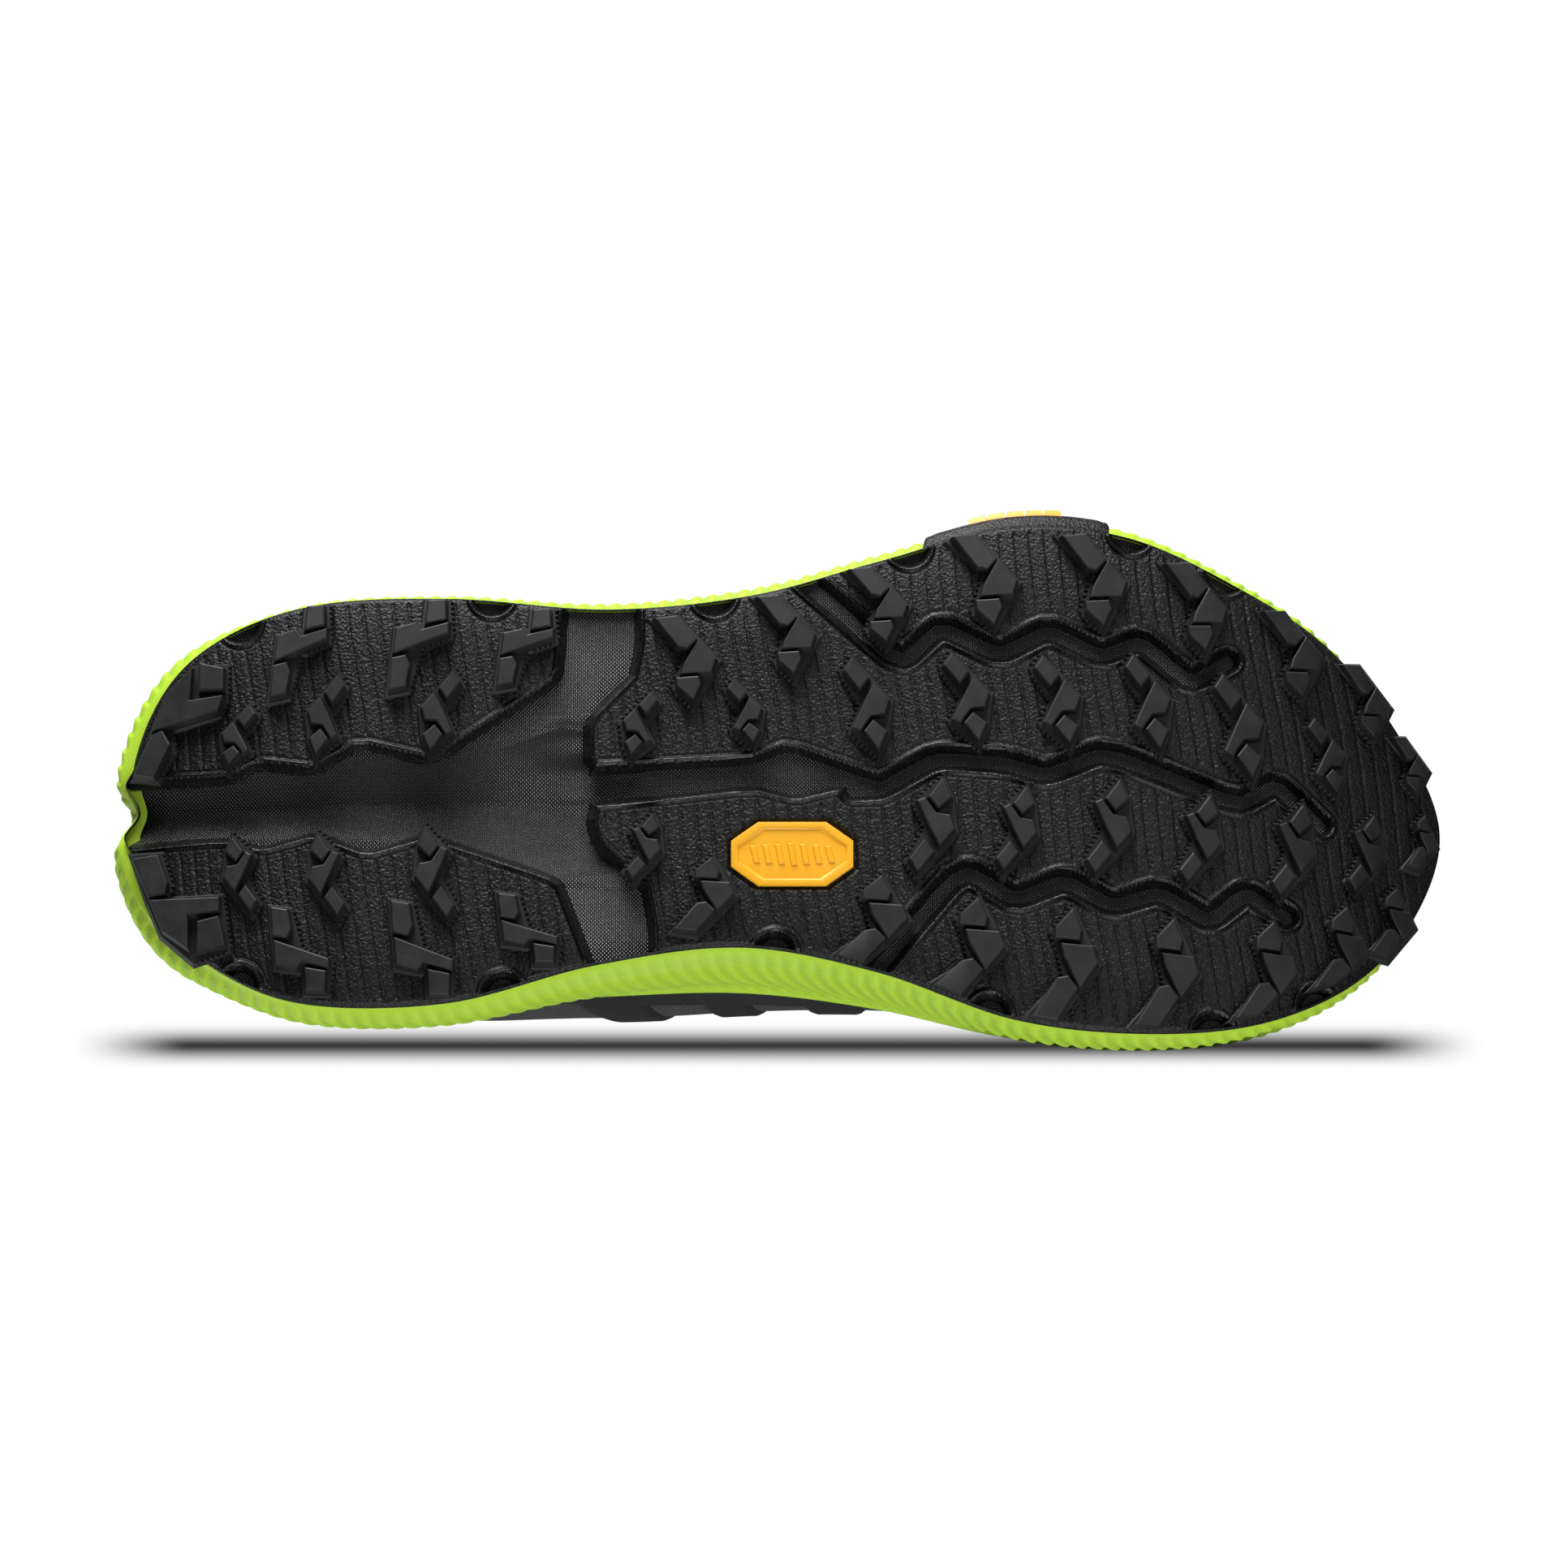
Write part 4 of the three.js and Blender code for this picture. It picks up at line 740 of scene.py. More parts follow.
cornerOutlines = [
    [(8.8, -25.3), (14.2, -30.9), (21.5, -30.9), (21.5, -23.6), (20.3, -20.4), (5.5, -16.8)],
    [(5.3, -15.7), (9, -16.2), (9.8, -12.6), (6.5, -6.6), (2.1, -7.4)],
    [(2.2, 11.4), (7.7, 11.4), (10, 17.9), (9.6, 20.4), (5.6, 20.6)],
    [(6.1, 21.7), (21.9, 21.7), (23.7, 33.2), (16.4, 35.2), (9.2, 28.9)]]
lugShape = {"blockDraft": 0.55, "chamfer": 0.34, "plinthRise": 0.9, "plinthGrow": 0.95, "nubPitch": 1.25,
            "nubSize": 0.42, "steps": (0.0, 0.34, 0.16), "cornerForward": 3.4}


def turned(plan, x, y, along, across):
    return np.asarray(plan, float) * [along, across] + [x, y]


def insideTread(plan):
    # a lug's plan, kept behind the edge of the tread
    share = tread.shareAt(plan[:, 0])
    low, high = tread.at(share, -1)[:, 1] + 0.3, tread.at(share, 1)[:, 1] - 0.3
    held = (plan[:, 0] > 20) & (plan[:, 0] < 275)
    return np.stack([plan[:, 0], np.where(held, np.clip(plan[:, 1], low, high), plan[:, 1])], 1)


def addBlock(heap, plan, step):
    shape = lugShape
    rings = [(shape["blockDraft"], 4.6), (shape["blockDraft"] * 0.45, 2.2), (0.02, step + 0.42),
             (-0.1, step + 0.14), (-shape["chamfer"], step)]
    heap.rings([lifted(insideTread(grown(plan, grow)), level) for grow, level in rings], (False, True))


def addPlinth(heap, plan, nubs):
    shape = lugShape
    top = treadShape["padLevel"] - shape["plinthRise"]
    rings = [(shape["plinthGrow"] + 0.5, 4.7), (shape["plinthGrow"], top + 0.3),
             (shape["plinthGrow"] - 0.25, top),
             (-0.6, top)]
    heap.rings([lifted(insideTread(grown(plan, grow)), level) for grow, level in rings], (False, True))
    border = insideTread(grown(plan, shape["plinthGrow"] + 0.05))
    centre = border.mean(0)
    for a, b in zip(border, np.roll(border, -1, 0)):
        out = unit(np.array([b[1] - a[1], a[0] - b[0]]))
        if np.dot((a + b) / 2 - centre, out) < 0:
            out = -out
        if out[0] * nubs < 0.25:
            continue
        length = np.linalg.norm(b - a)
        for k in range(int(length / shape["nubPitch"])):
            spot = a + (b - a) * (k + 0.5) * shape["nubPitch"] / length
            angles = np.linspace(0, 2 * math.pi, 6, endpoint=False) + k
            nub = shape["nubSize"] * np.stack([np.cos(angles), np.sin(angles)], 1)
            heap.rings([lifted(spot + r * nub, level) for r, level in
                        ((1.3, 4.3), (1, top + 0.15), (0.5, top - 0.2))], (False, True))


def buildLugs():
    groups = {"forefoot_lugs": [], "heel_lateral_lugs": [], "heel_medial_lugs": []}
    heelGroup = lambda y: "heel_lateral_lugs" if y < 0 else "heel_medial_lugs"
    for kind, *place in foreLugs + heelLugs:
        name, nubs = ("forefoot_lugs", -1) if place[0] > 110 else (heelGroup(place[1]), 1)
        blocks = [turned(block, *place) for block in lugBlocks[kind]]
        groups[name].append((blocks, turned(lugOutlines[kind], *place), nubs))
    forward = lambda plan: np.asarray(plan, float) + [lugShape["cornerForward"], 0]
    for blocks, outline in zip(cornerLugs, cornerOutlines):
        groups[heelGroup(outline[0][1])].append(([forward(block) for block in blocks], forward(outline), 1))
    for name, lugs in groups.items():
        heap = Heap()
        for i, (blocks, outline, nubs) in enumerate(lugs):
            addPlinth(heap, outline, nubs)
            for k, block in enumerate(blocks):
                addBlock(heap, block, lugShape["steps"][(k + i % 2) % 3])
        heap.add(name, lugRubber, "outsole_rubber", sharp=24)
    print("lugs done")


def buildBadge():
    heap = Heap()
    level = treadShape["padLevel"] - 0.5
    rings = [(-0.1, level + 1.4), (0, level + 0.35), (-0.12, level + 0.08), (-0.4, level), (-1.25, level),
             (-1.45, level + 0.1), (-1.75, level + 0.5)]
    heap.rings([lifted(octagon(grow), height) for grow, height in rings], (False, True))
    for k in range(-3, 4):  # a plain row of slanted bars
        bar = np.array([[-0.55, -2.3], [0.55, -2.3], [1.35, 2.3], [0.25, 2.3]]) * [1, 1 - 0.09 * abs(k)]
        bar += [badgePlan["x"] + k * 2.75 - 0.4, badgePlan["y"]]
        heap.rings([lifted(grown(bar, grow), height) for grow, height in
                    ((0.25, level + 0.55), (0.08, level + 0.25), (-0.08, level + 0.12))], (False, True))
    heap.add("badge", amber, "amber_badge", stands=("sole_badge",), sharp=35)
    print("badge done")


# The lime foam
foamShape = {"rows": 860, "columns": 44, "ribPitch": 3.7, "ribHeight": 0.75, "slant": 11.0, "flare": 4.4,
             "toeThins": 2.0, "heelSwell": 1.8}


def wallFoot(share):
    return rocker(tread.middle(share)) + 2.8


def wallHeight(share):
    return rim(last.middle(share)) - wallFoot(share)


def wallPoints(share, side, w, grow=0.0):
    # the foam's outer wall; w runs from 0 at the tread to 1 at the rim
    share, w = np.broadcast_arrays(np.asarray(share, float), np.asarray(w, float))
    foot = tread.at(share, side)
    out = tread.at(share, side, 1.0) - foot
    top = last.at(share, side, 3.5)
    thin = foamShape["toeThins"] * smooth(90, 190, foot[..., 0]) * (np.asarray(side) > 0)
    flare = foamShape["flare"] - thin
    heel = foamShape["heelSwell"] * swell(foot[..., 0], 10, 15)
    bulge = (flare * (1 - 0.75 * out[..., 0] ** 2) + heel) * np.sin(math.pi * np.minimum(1, w * 1.15)) + grow
    cleft = np.where(share < 0.5, heelShape["cleft"] * swell(foot[..., 1], 0, heelShape["cleftWidth"]), 0)
    plan = foot + (top - foot) * w[..., None] ** 1.6 + out * (bulge - cleft * (1 - w ** 3))[..., None]
    low = wallFoot(share)
    z = low + (rim(last.middle(share)) - low) * w
    return np.concatenate([plan, z[..., None]], -1)


def buildFoam():
    shape = foamShape
    rings, valleys = [], []
    for side in (-1, 1):
        share = np.linspace(0, 1, shape["rows"])
        edge = tread.at(share, side)
        arc = lengthsAlong(edge)
        start = 5.6 / wallHeight(share)
        t = np.linspace(0, 1, shape["columns"])
        w = start[:, None] + (1 - start[:, None]) * t[None, :]
        wall = wallPoints(share[:, None] + w * 0, side, w)
        slide = smooth(0, 0.16, t)[None, :, None]  # the underside draws in to the rubber's edge
        near = tread.at(share, side, 0.25)
        near[:, 0] += cleftInset(near[:, 0], near[:, 1])
        wall[..., :2] = near[:, None] * (1 - slide) + wall[..., :2] * slide
        phase = (arc[:, None] - shape["slant"] * t[None, :] ** 1.2) / shape["ribPitch"]
        part = phase % 1
        saw = np.where(part < 0.78, smooth(0, 0.78, part), 1 - smooth(0.78, 1, part))
        strength = smooth(0.01, 0.12, t)[None, :] * (1 - smooth(0.9, 0.98, t))[None, :]
        strength = strength * (0.55 + 0.45 * np.sin(arc / 60 + side)[:, None] ** 2)
        out = (tread.at(share, side, 1.0) - edge)[:, None]
        wall[..., :2] += out * ((saw - 0.5) * shape["ribHeight"] * strength)[..., None]
        shelf = tread.at(share, side, -1.2 - 2.6 * np.clip(1 - edge[:, 0] / heelShape["shyEnds"], 0, 1))
        shelf[:, 0] += heelInset(shelf[:, 0], shelf[:, 1])
        shelfPoint = np.concatenate([shelf, (ground(edge[:, 0], edge[:, 1]) + 6.9)[:, None]], 1)
        wall[:, 0, 2] = ground(edge[:, 0], edge[:, 1]) + 6.3
        topZ = wall[:, -1, 2]
        lipPoints = []
        for grow, drop in ((3.1, -0.35), (2.2, -0.55), (0.9, -0.5), (-0.6, 0.3), (-1.0, 3.5)):
            plan = last.at(share, side, grow)
            lipPoints.append(np.concatenate([plan, (topZ - drop - 0.3)[:, None]], 1))
        full = np.concatenate([shelfPoint[:, None], wall, np.stack(lipPoints, 1)], 1)
        plain = np.zeros((len(share), 1))
        # valley marks the dips between the ribs, where the lime finish paints shade
        valley = np.concatenate([plain, (1 - saw) * strength, np.repeat(plain, len(lipPoints), 1)], 1)
        if side > 0:
            full, valley = full[::-1][1:-1], valley[::-1][1:-1]
        rings.append(full)
        valleys.append(valley)
    points = np.concatenate(rings)
    faces = grid(points.shape[0], points.shape[1], closed=True)
    addPiece("lime_midsole", points.reshape(-1, 3), faces, lime, "lime_foam", stands=("midsole_foam",),
             values={"valley": np.concatenate(valleys).ravel()})
    print("lime foam done")


wrapShape = {"from": 181, "to": 224, "slope": 6, "foot": 3.2, "top": 23, "height": 16, "thick": 0.9,
             "bars": 5}


def wrapPoints(along, up, grow):
    # a point of the rubber that climbs the lateral wall; along and up run from 0 to 1
    shape = wrapShape
    along, up = np.broadcast_arrays(np.asarray(along, float), np.asarray(up, float))
    x = shape["from"] + (shape["to"] - shape["from"]) * along + shape["slope"] * up * (1 - 2 * along)
    share = tread.shareAt(x)
    low, high = (level / wallHeight(share) for level in (shape["foot"], shape["top"] - wallFoot(share)))
    return wallPoints(share, -1, low + (high - low) * up, grow)


def buildWrap():
    rows, columns = 90, 26
    a, b = np.linspace(0, 1, rows), np.linspace(0, 1, columns)
    shape = wrapShape
    ends = np.minimum(a, 1 - a)[:, None] * (shape["to"] - shape["from"])
    edge = np.minimum(ends, (1 - b)[None, :] * shape["height"])
    thick = shape["thick"] * np.sqrt(np.clip(edge / 0.9, 0, 1)) + 0.12 * np.cos(np.minimum(edge, 3) * 2.2)
    points = wrapPoints(a[:, None] + 0 * b, b[None, :] + 0 * a[:, None], thick)
    foot = smooth(0, 0.18, b)[None, :, None]
    share = tread.shareAt(points[..., 0])
    near = tread.at(share, -1, 0.2)
    points[..., :2] = near * (1 - foot) + points[..., :2] * foot
    addPiece("side_wrap", points.reshape(-1, 3), grid(rows, columns), rubber, "outsole_rubber")
    heap = Heap()
    for k in range(shape["bars"]):
        middle = 0.3 + 0.1 * k
        corners = [(middle - 0.054, 0.2), (middle + 0.036, 0.2), (middle + 0.06, 0.66), (middle - 0.03, 0.66)]
        shrunk = lambda s: [((a - middle) * s + middle, (b - 0.43) * s + 0.43) for a, b in corners]
        heap.rings([wrapPoints(*np.array(shrunk(s)).T, grow) for s, grow in
                    ((1.08, 0.6), (1, 1.9), (0.9, 2.2))], (False, True))
    heap.add("side_bars", amber, "amber_badge", stands=("side_emblem",), sharp=35)
    print("side wrap done")


padFaces, padShown = buildPads()
buildCarrier(padFaces, padShown)
buildTreadEdge()
buildLugs()
buildBadge()
buildFoam()
buildWrap()


# Finishes of the upper
def knitFinish():
    # engineered mesh: small open cells between twisted yarns, read from the lengths along and round the foot
    made = Finish("engineered_mesh", (0.02, 0.02, 0.022), 0.85, Sheen_Weight=0.12, Specular_IOR_Level=0.3)
    along, around = made.value("along"), made.value("round")
    cell = abs((along * 1.9 + around * 1.1).sine() * (along * 1.9 - around * 1.1).sine())
    yarn = (around * 7.0).sine() * 0.5 + 0.5
    zones = made.noise(24, 2.0)
    opened = made.smooth(cell, 0.12, 0.5)
    shown = opened * (0.55 + zones * 0.6)
    made.feed("Base Color", made.blend(shown, (0.004, 0.004, 0.0045), (0.04, 0.041, 0.044)))
    made.feed("Roughness", 0.72 + yarn * 0.16)
    made.relief(opened + yarn * 0.3, 0.35, 0.9)
    return made


def filmFinish(name, dark, light, roughness):
    made = Finish(name, light, roughness, Specular_IOR_Level=0.36)
    grain, patches = made.noise(0.9, 2.0), made.noise(14, 3.0)
    made.feed("Base Color", made.blend(patches, dark, light))
    made.feed("Roughness", roughness - 0.08 + patches * 0.16)
    made.relief(grain, 0.05, 0.6)
    return made


def webbingFinish(name, dark, light, pitch):
    # woven strap: ribs across the run with a fine twill
    made = Finish(name, light, 0.8, Sheen_Weight=0.15, Specular_IOR_Level=0.3)
    along, around = made.value("along"), made.value("round")
    rib = (along * (6.283 / pitch)).sine() * 0.5 + 0.5
    twill = (along * (6.283 / pitch) + around * (6.283 / pitch) * 1.3).sine() * 0.5 + 0.5
    made.feed("Base Color", made.blend(rib * 0.6 + twill * 0.4, dark, light))
    made.feed("Roughness", 0.7 + rib * 0.15)
    made.relief(rib + twill * 0.6, 0.25, 0.9)
    return made


def liningFinish():
    made = Finish("padded_lining", (0.03, 0.031, 0.034), 0.92, Sheen_Weight=0.25, Specular_IOR_Level=0.25)
    along, around = made.value("along"), made.value("round")
    knit = abs((along * 3.1).sine()) * abs((around * 3.1 + (along * 3.1).sine() * 0.4).sine())
    fuzz = made.noise(0.5, 3.0)
    made.feed("Base Color", made.blend(knit * 0.7 + fuzz * 0.3, (0.012, 0.012, 0.014), (0.05, 0.051, 0.056)))
    made.feed("Roughness", 0.84 + fuzz * 0.14)
    made.relief(knit + fuzz * 0.4, 0.3, 0.8)
    return made


def boardFinish(name, dark, light):
    made = Finish(name, light, 0.85)
    fibres = made.noise(1.4, 4.0, 0.7)
    made.feed("Base Color", made.blend(fibres, dark, light))
    made.feed("Roughness", 0.75 + fibres * 0.2)
    made.relief(fibres, 0.1, 0.5)
    return made


knit = knitFinish()
film = filmFinish("black_film", (0.008, 0.008, 0.009), (0.02, 0.02, 0.022), 0.56)
greyFilm = filmFinish("grey_film", (0.11, 0.113, 0.12), (0.17, 0.173, 0.183), 0.55)
webbing = webbingFinish("black_webbing", (0.008, 0.008, 0.009), (0.045, 0.046, 0.05), 0.85)
cordWeave = webbingFinish("lace_weave", (0.008, 0.008, 0.009), (0.04, 0.04, 0.044), 0.7)
thread = webbingFinish("stitching_thread", (0.03, 0.03, 0.032), (0.08, 0.08, 0.085), 0.4)
lining = liningFinish()
footFabric = filmFinish("sockliner_fabric", (0.03, 0.031, 0.034), (0.055, 0.056, 0.06), 0.88)
board = boardFinish("fibre_board", (0.5, 0.49, 0.45), (0.66, 0.64, 0.6))
stiffener = boardFinish("stiffener_sheet", (0.08, 0.08, 0.085), (0.14, 0.14, 0.145))


# The skin of the upper: arches over the footbed, moved inwards by a depth
leanAt = np.array([[0, 0], [47, 0], [63, -2.5], [88, 2.5], [106, 0.5], [130, -1]])


def heelCurve(x, z):
    i = np.clip(np.searchsorted(leanAt[:, 0], z) - 1, 0, len(leanAt) - 2)
    t = np.clip((z - leanAt[i, 0]) / (leanAt[i + 1, 0] - leanAt[i, 0]), 0, 1)
    lean = leanAt[i, 1] + (leanAt[i + 1, 1] - leanAt[i, 1]) * t * t * (3 - 2 * t)
    return np.maximum(0, 1 - x / 70) ** 2 * lean


def archSizes(share, depth):
    depth = np.asarray(depth, float)
    a, b = last.at(share, -1, -depth), last.at(share, 1, -depth)
    x = last.middle(share)
    return (a + b) / 2, (b - a) / 2, footbed(x) + 0.3, topline(x) - depth, squareness(x)


def onArch(share, side, rise, depth=0.0):
    # side -1 or 1, rise 0 at the footbed to 1 at the ridge
    share, rise, depth = np.broadcast_arrays(*(np.asarray(v, float) for v in (share, rise, depth)))
    centre, half, base, top, power = archSizes(share, depth)
    rise = np.clip(rise, 0, 1)
    reach = side * (1 - rise ** power) ** (1 / power)
    plan = centre + half * reach[..., None]
    z = base + (top - base) * rise
    x = plan[..., 0] + heelCurve(plan[..., 0], z)
    full = 6.0 * swell(x, 134, 46) * (4 * rise * (1 - rise)) ** 0.8  # the upper stands out over the arch
    return np.stack([x, plan[..., 1] + np.where(side > 0, full, 0), z], -1)


def riseAt(share, z, depth=0.0):
    _, _, base, top, _ = archSizes(share, np.broadcast_to(depth, np.shape(share)))
    return (z - base) / (top - base)


def ridge(x):
    return archSizes(last.shareAt(x), np.zeros(np.shape(x)))[0][..., 1]


def skinHeight(x, y, depth=0.0):
    share = last.shareAt(x)
    centre, half, base, top, power = archSizes(share, np.broadcast_to(depth, np.shape(share)))
    part = np.clip(np.abs(y - centre[..., 1]) / np.maximum(np.abs(half[..., 1]), 1e-9), 0, 1)
    return base + (top - base) * (1 - part ** power) ** (1 / power)


def onSkin(x, y, depth=0.0):
    x, y, depth = np.broadcast_arrays(*(np.asarray(v, float) for v in (x, y, depth)))
    return np.stack([x, y, skinHeight(x, y, depth)], -1)


def skinFrame(x, y, depth):
    step = 0.5
    z = lambda dx, dy: float(skinHeight(np.array(x + dx), np.array(y + dy), depth))
    normal = np.array([z(-step, 0) - z(step, 0), z(0, -step) - z(0, step), 2 * step])
    return np.array([x, y, z(0, 0)]), normal / np.linalg.norm(normal)


throat = {"toe": 195, "top": 100, "narrow": 9.5, "wide": 17}


def throatHalf(x):
    part = (throat["toe"] - x) / (throat["toe"] - throat["top"])
    return throat["narrow"] + (throat["wide"] - throat["narrow"]) * part


def openingHalf(x):
    # half the width of the throat, with its round toe end
    around = throat["toe"] - throat["narrow"]
    nose = np.sqrt(np.maximum(throat["narrow"] ** 2 - np.maximum(x - around, 0) ** 2, 0))
    return np.where(x < around, throatHalf(x), np.where(x < throat["toe"], nose, 0))


def evenShares(low, high, step):
    # shares from low to high (in x), evenly spaced along the last's edge
    share = np.linspace(last.shareAt(low) if low > 7 else 0, last.shareAt(high) if high < 291 else 1, 900)
    plan = (last.at(share, -1) * [1, -1] + last.at(share, 1)) / 2
    arc = lengthsAlong(plan)
    return np.interp(np.linspace(0, arc[-1], int(arc[-1] / step) + 1), arc, share)


def withLengths(points):
    # lengths along and round a grid of points, for the weave
    along, around = lengthsAlong(points), lengthsAlong(points, 1)
    along = np.broadcast_to(along.mean(1, keepdims=True), along.shape)
    return {"along": along.ravel(), "round": around.ravel()}


def addGrid(name, points, finish, slot, closed=False, **more):
    faces = grid(points.shape[0], points.shape[1], closed)
    return addPiece(name, points.reshape(-1, 3), faces, finish, slot, values=withLengths(points), **more)


shellShape = {"thick": 2.0, "step": 1.3, "columns": 44, "seam": 163, "roll": 0.9}


def shellSide(share, side):
    shape = shellShape
    x = last.middle(share)
    half = openingHalf(x)
    throatZ = skinHeight(x, ridge(x) + side * half)
    fold = foldLine(x)
    soft = np.maximum(2.5 - np.abs(fold - throatZ), 0) ** 2 / 10
    end = np.where(x < 98, fold, np.minimum(fold, throatZ) - soft * (x < 125))
    t = np.linspace(0, 1, shape["columns"])[None, :]
    power = squareness(x)[:, None]

    def layer(depth, lower):
        base = riseAt(share, footbed(x) + 5, depth)[:, None]
        stop = np.clip(riseAt(share, end - lower, depth), 0, 1)[:, None]
        stop = np.where(x[:, None] > throat["toe"], 1, stop)
        low, high = np.arcsin(base ** (power / 2)), np.arcsin(stop ** (power / 2))
        angle = low + (high - low) * t
        return onArch(share[:, None], side, np.sin(angle) ** (2 / power), depth)

    outer, inner = layer(0.0, 0.35), layer(shape["thick"], 0.35)
    lift = np.where(x > throat["toe"] - 1, 0, shape["roll"] * 0.5)[:, None]
    rolled = [(outer[:, -1] * part + inner[:, -1] * (1 - part) + lift[:, :1] * [0, 0, 1])[:, None]
              for part in (0.75, 0.25)]
    return np.concatenate([outer, *rolled, inner[:, ::-1]], 1)


def buildShell():
    seam = shellShape["seam"]
    for side, name in ((-1, "lateral"), (1, "medial")):
        share = evenShares(7, seam + 1.5, shellShape["step"])
        addGrid("quarter_" + name, shellSide(share, side), knit, "mesh_fabric",
                stands=("upper_quarter_" + name,), sharp=70)
    share = evenShares(seam - 1.5, 291, shellShape["step"])
    halves = [shellSide(share, side) for side in (-1, 1)]
    points = np.concatenate(halves)
    faces = grid(len(share), halves[0].shape[1])
    faces = np.concatenate([faces, faces + halves[0].shape[0] * halves[0].shape[1]])
    both = [withLengths(half) for half in halves]
    addPiece("vamp", points.reshape(-1, 3), faces, knit, "mesh_fabric", stands=("upper_vamp",), sharp=70,
             values={key: np.concatenate([b[key] for b in both]) for key in both[0]})
    print("upper shell done")


def domed(rows, columns):
    # 0 at the border of a strip, 1 inside it
    a, b = np.linspace(0, 1, rows), np.linspace(0, 1, columns)
    near = np.minimum(np.minimum(a, 1 - a)[:, None] * rows, np.minimum(b, 1 - b)[None, :] * columns)
    return np.sqrt(np.clip(near / 2.0, 0, 1))


def bandOnSide(name, shares, low, high, side, finish, columns=14, depth=-0.8, **more):
    # a film between two heights on the wall of the upper
    t = np.linspace(0, 1, columns)[None, :]
    rise = low[:, None] + (high - low)[:, None] * t
    cover = domed(len(shares), columns)
    points = onArch(shares[:, None], side, rise, 0.3 + (depth - 0.3) * cover)
    return addGrid(name, points, finish, "overlay_film", **more)


def eyestayRise(share, side, beyond):
    x = last.middle(share)
    return riseAt(share, skinHeight(x, ridge(x) + side * (throatHalf(x) + beyond)))


# each finger: where it starts and ends at the sole, then at the lacing
saddleShape = {"from": 90, "to": 168, "step": 1.2, "top": 48.5, "wave": 1.5, "fingerHeight": 1.25,
               "fingerReach": 11.0,
               "fingers": [(98, 118, 118, 128), (129, 141, 141, 150), (152, 167, 162, 170.5)]}


def buildSaddles():
    shape = saddleShape
    for side, name in ((-1, "lateral"), (1, "medial")):
        share = evenShares(shape["from"], shape["to"], shape["step"])
        x = last.middle(share)
        low = riseAt(share, rim(x) - 1.5)
        wave = shape["wave"] * np.sin((x - shape["from"]) / 12)
        top = shape["top"] + wave - np.maximum(0, x - 150) * 0.25
        bandOnSide("saddle_band_" + name, share, low, riseAt(share, top), side, film,
                   stands=("saddle_" + name,))
        for k, (a0, a1, b0, b1) in enumerate(shape["fingers"]):
            rows, columns = 14, 44
            up = np.linspace(0, 1, columns)[None, :]
            across = np.linspace(0, 1, rows)[:, None]
            x = (a0 + (b0 - a0) * up) + ((a1 - a0) + ((b1 - b0) - (a1 - a0)) * up) * across
            shares = last.shareAt(x)
            start = riseAt(shares, rim(x) - 1.0)
            end = eyestayRise(shares, side, shape["fingerReach"])
            rise = start + (end - start) * up
            points = onArch(shares, side, rise, 0.2 - shape["fingerHeight"] * domed(rows, columns))
            made = greyFilm if (side < 0 and k == 0) else film
            addGrid(f"saddle_finger_{name}_{k + 1}", points, made, "overlay_film")
    print("saddles done")


eyestayShape = {"from": 97, "to": 193, "wide": 12.4, "height": 1.75, "stitchRows": (1.6, 11.2),
                "stitchFrom": 104, "stitchTo": 190, "stitchStep": 3.1, "stitchLength": 2.1}


def buildEyestays():
    shape = eyestayShape
    stitches = Heap()
    for side, name in ((-1, "lateral"), (1, "medial")):
        xs = np.linspace(shape["from"], shape["to"], 90)
        across = np.linspace(0, 1, 22)
        x = xs[:, None] + 0 * across
        reach = throatHalf(x) + 0.4 + shape["wide"] * across[None, :]
        y = ridge(xs)[:, None] + side * reach
        trim = np.minimum(0, foldLine(x) - 1.5 - skinHeight(x, y))
        x = x - trim * 1.4
        cover = domed(len(xs), len(across))
        points = onSkin(x, y, 0.2 - shape["height"] * cover)
        addGrid("eyestay_" + name, points, film, "overlay_film", stands=("eyestay_" + name,))
        for offset in shape["stitchRows"]:
            for sx in np.arange(shape["stitchFrom"], shape["stitchTo"], shape["stitchStep"]):
                addStitch(stitches, *(onSkin(x, ridge(x) + side * (throatHalf(x) + offset), -1.55)
                                      for x in (sx, sx + shape["stitchLength"])))
    stitches.add("eyestay_stitches", thread, "overlay_film")
    print("eyestays done")


def addStitch(heap, a, b, thick=0.32):
    # a short rounded thread from a to b that dips in at both ends
    a, b = np.asarray(a, float), np.asarray(b, float)
    run = unit(b - a)
    side = unit(np.cross(run, [0, 0, 1.0]))
    up = np.cross(side, run)
    rings = []
    for t, r in ((0, 0.4), (0.15, 0.85), (0.5, 1.0), (0.85, 0.85), (1, 0.4)):
        angles = np.linspace(0, 2 * math.pi, 6, endpoint=False)
        centre = a + (b - a) * t + up * (0.28 * math.sin(math.pi * t) - 0.12)
        rings.append([centre + thick * r * (side * math.cos(k) + up * math.sin(k)) for k in angles])
    heap.rings(rings)


toeCapShape = {"from": 250, "tip": 291, "step": 0.9, "back": 252, "slant": 12, "top": 0.64, "topRise": 0.26,
               "height": 1.35, "border": 1.6}


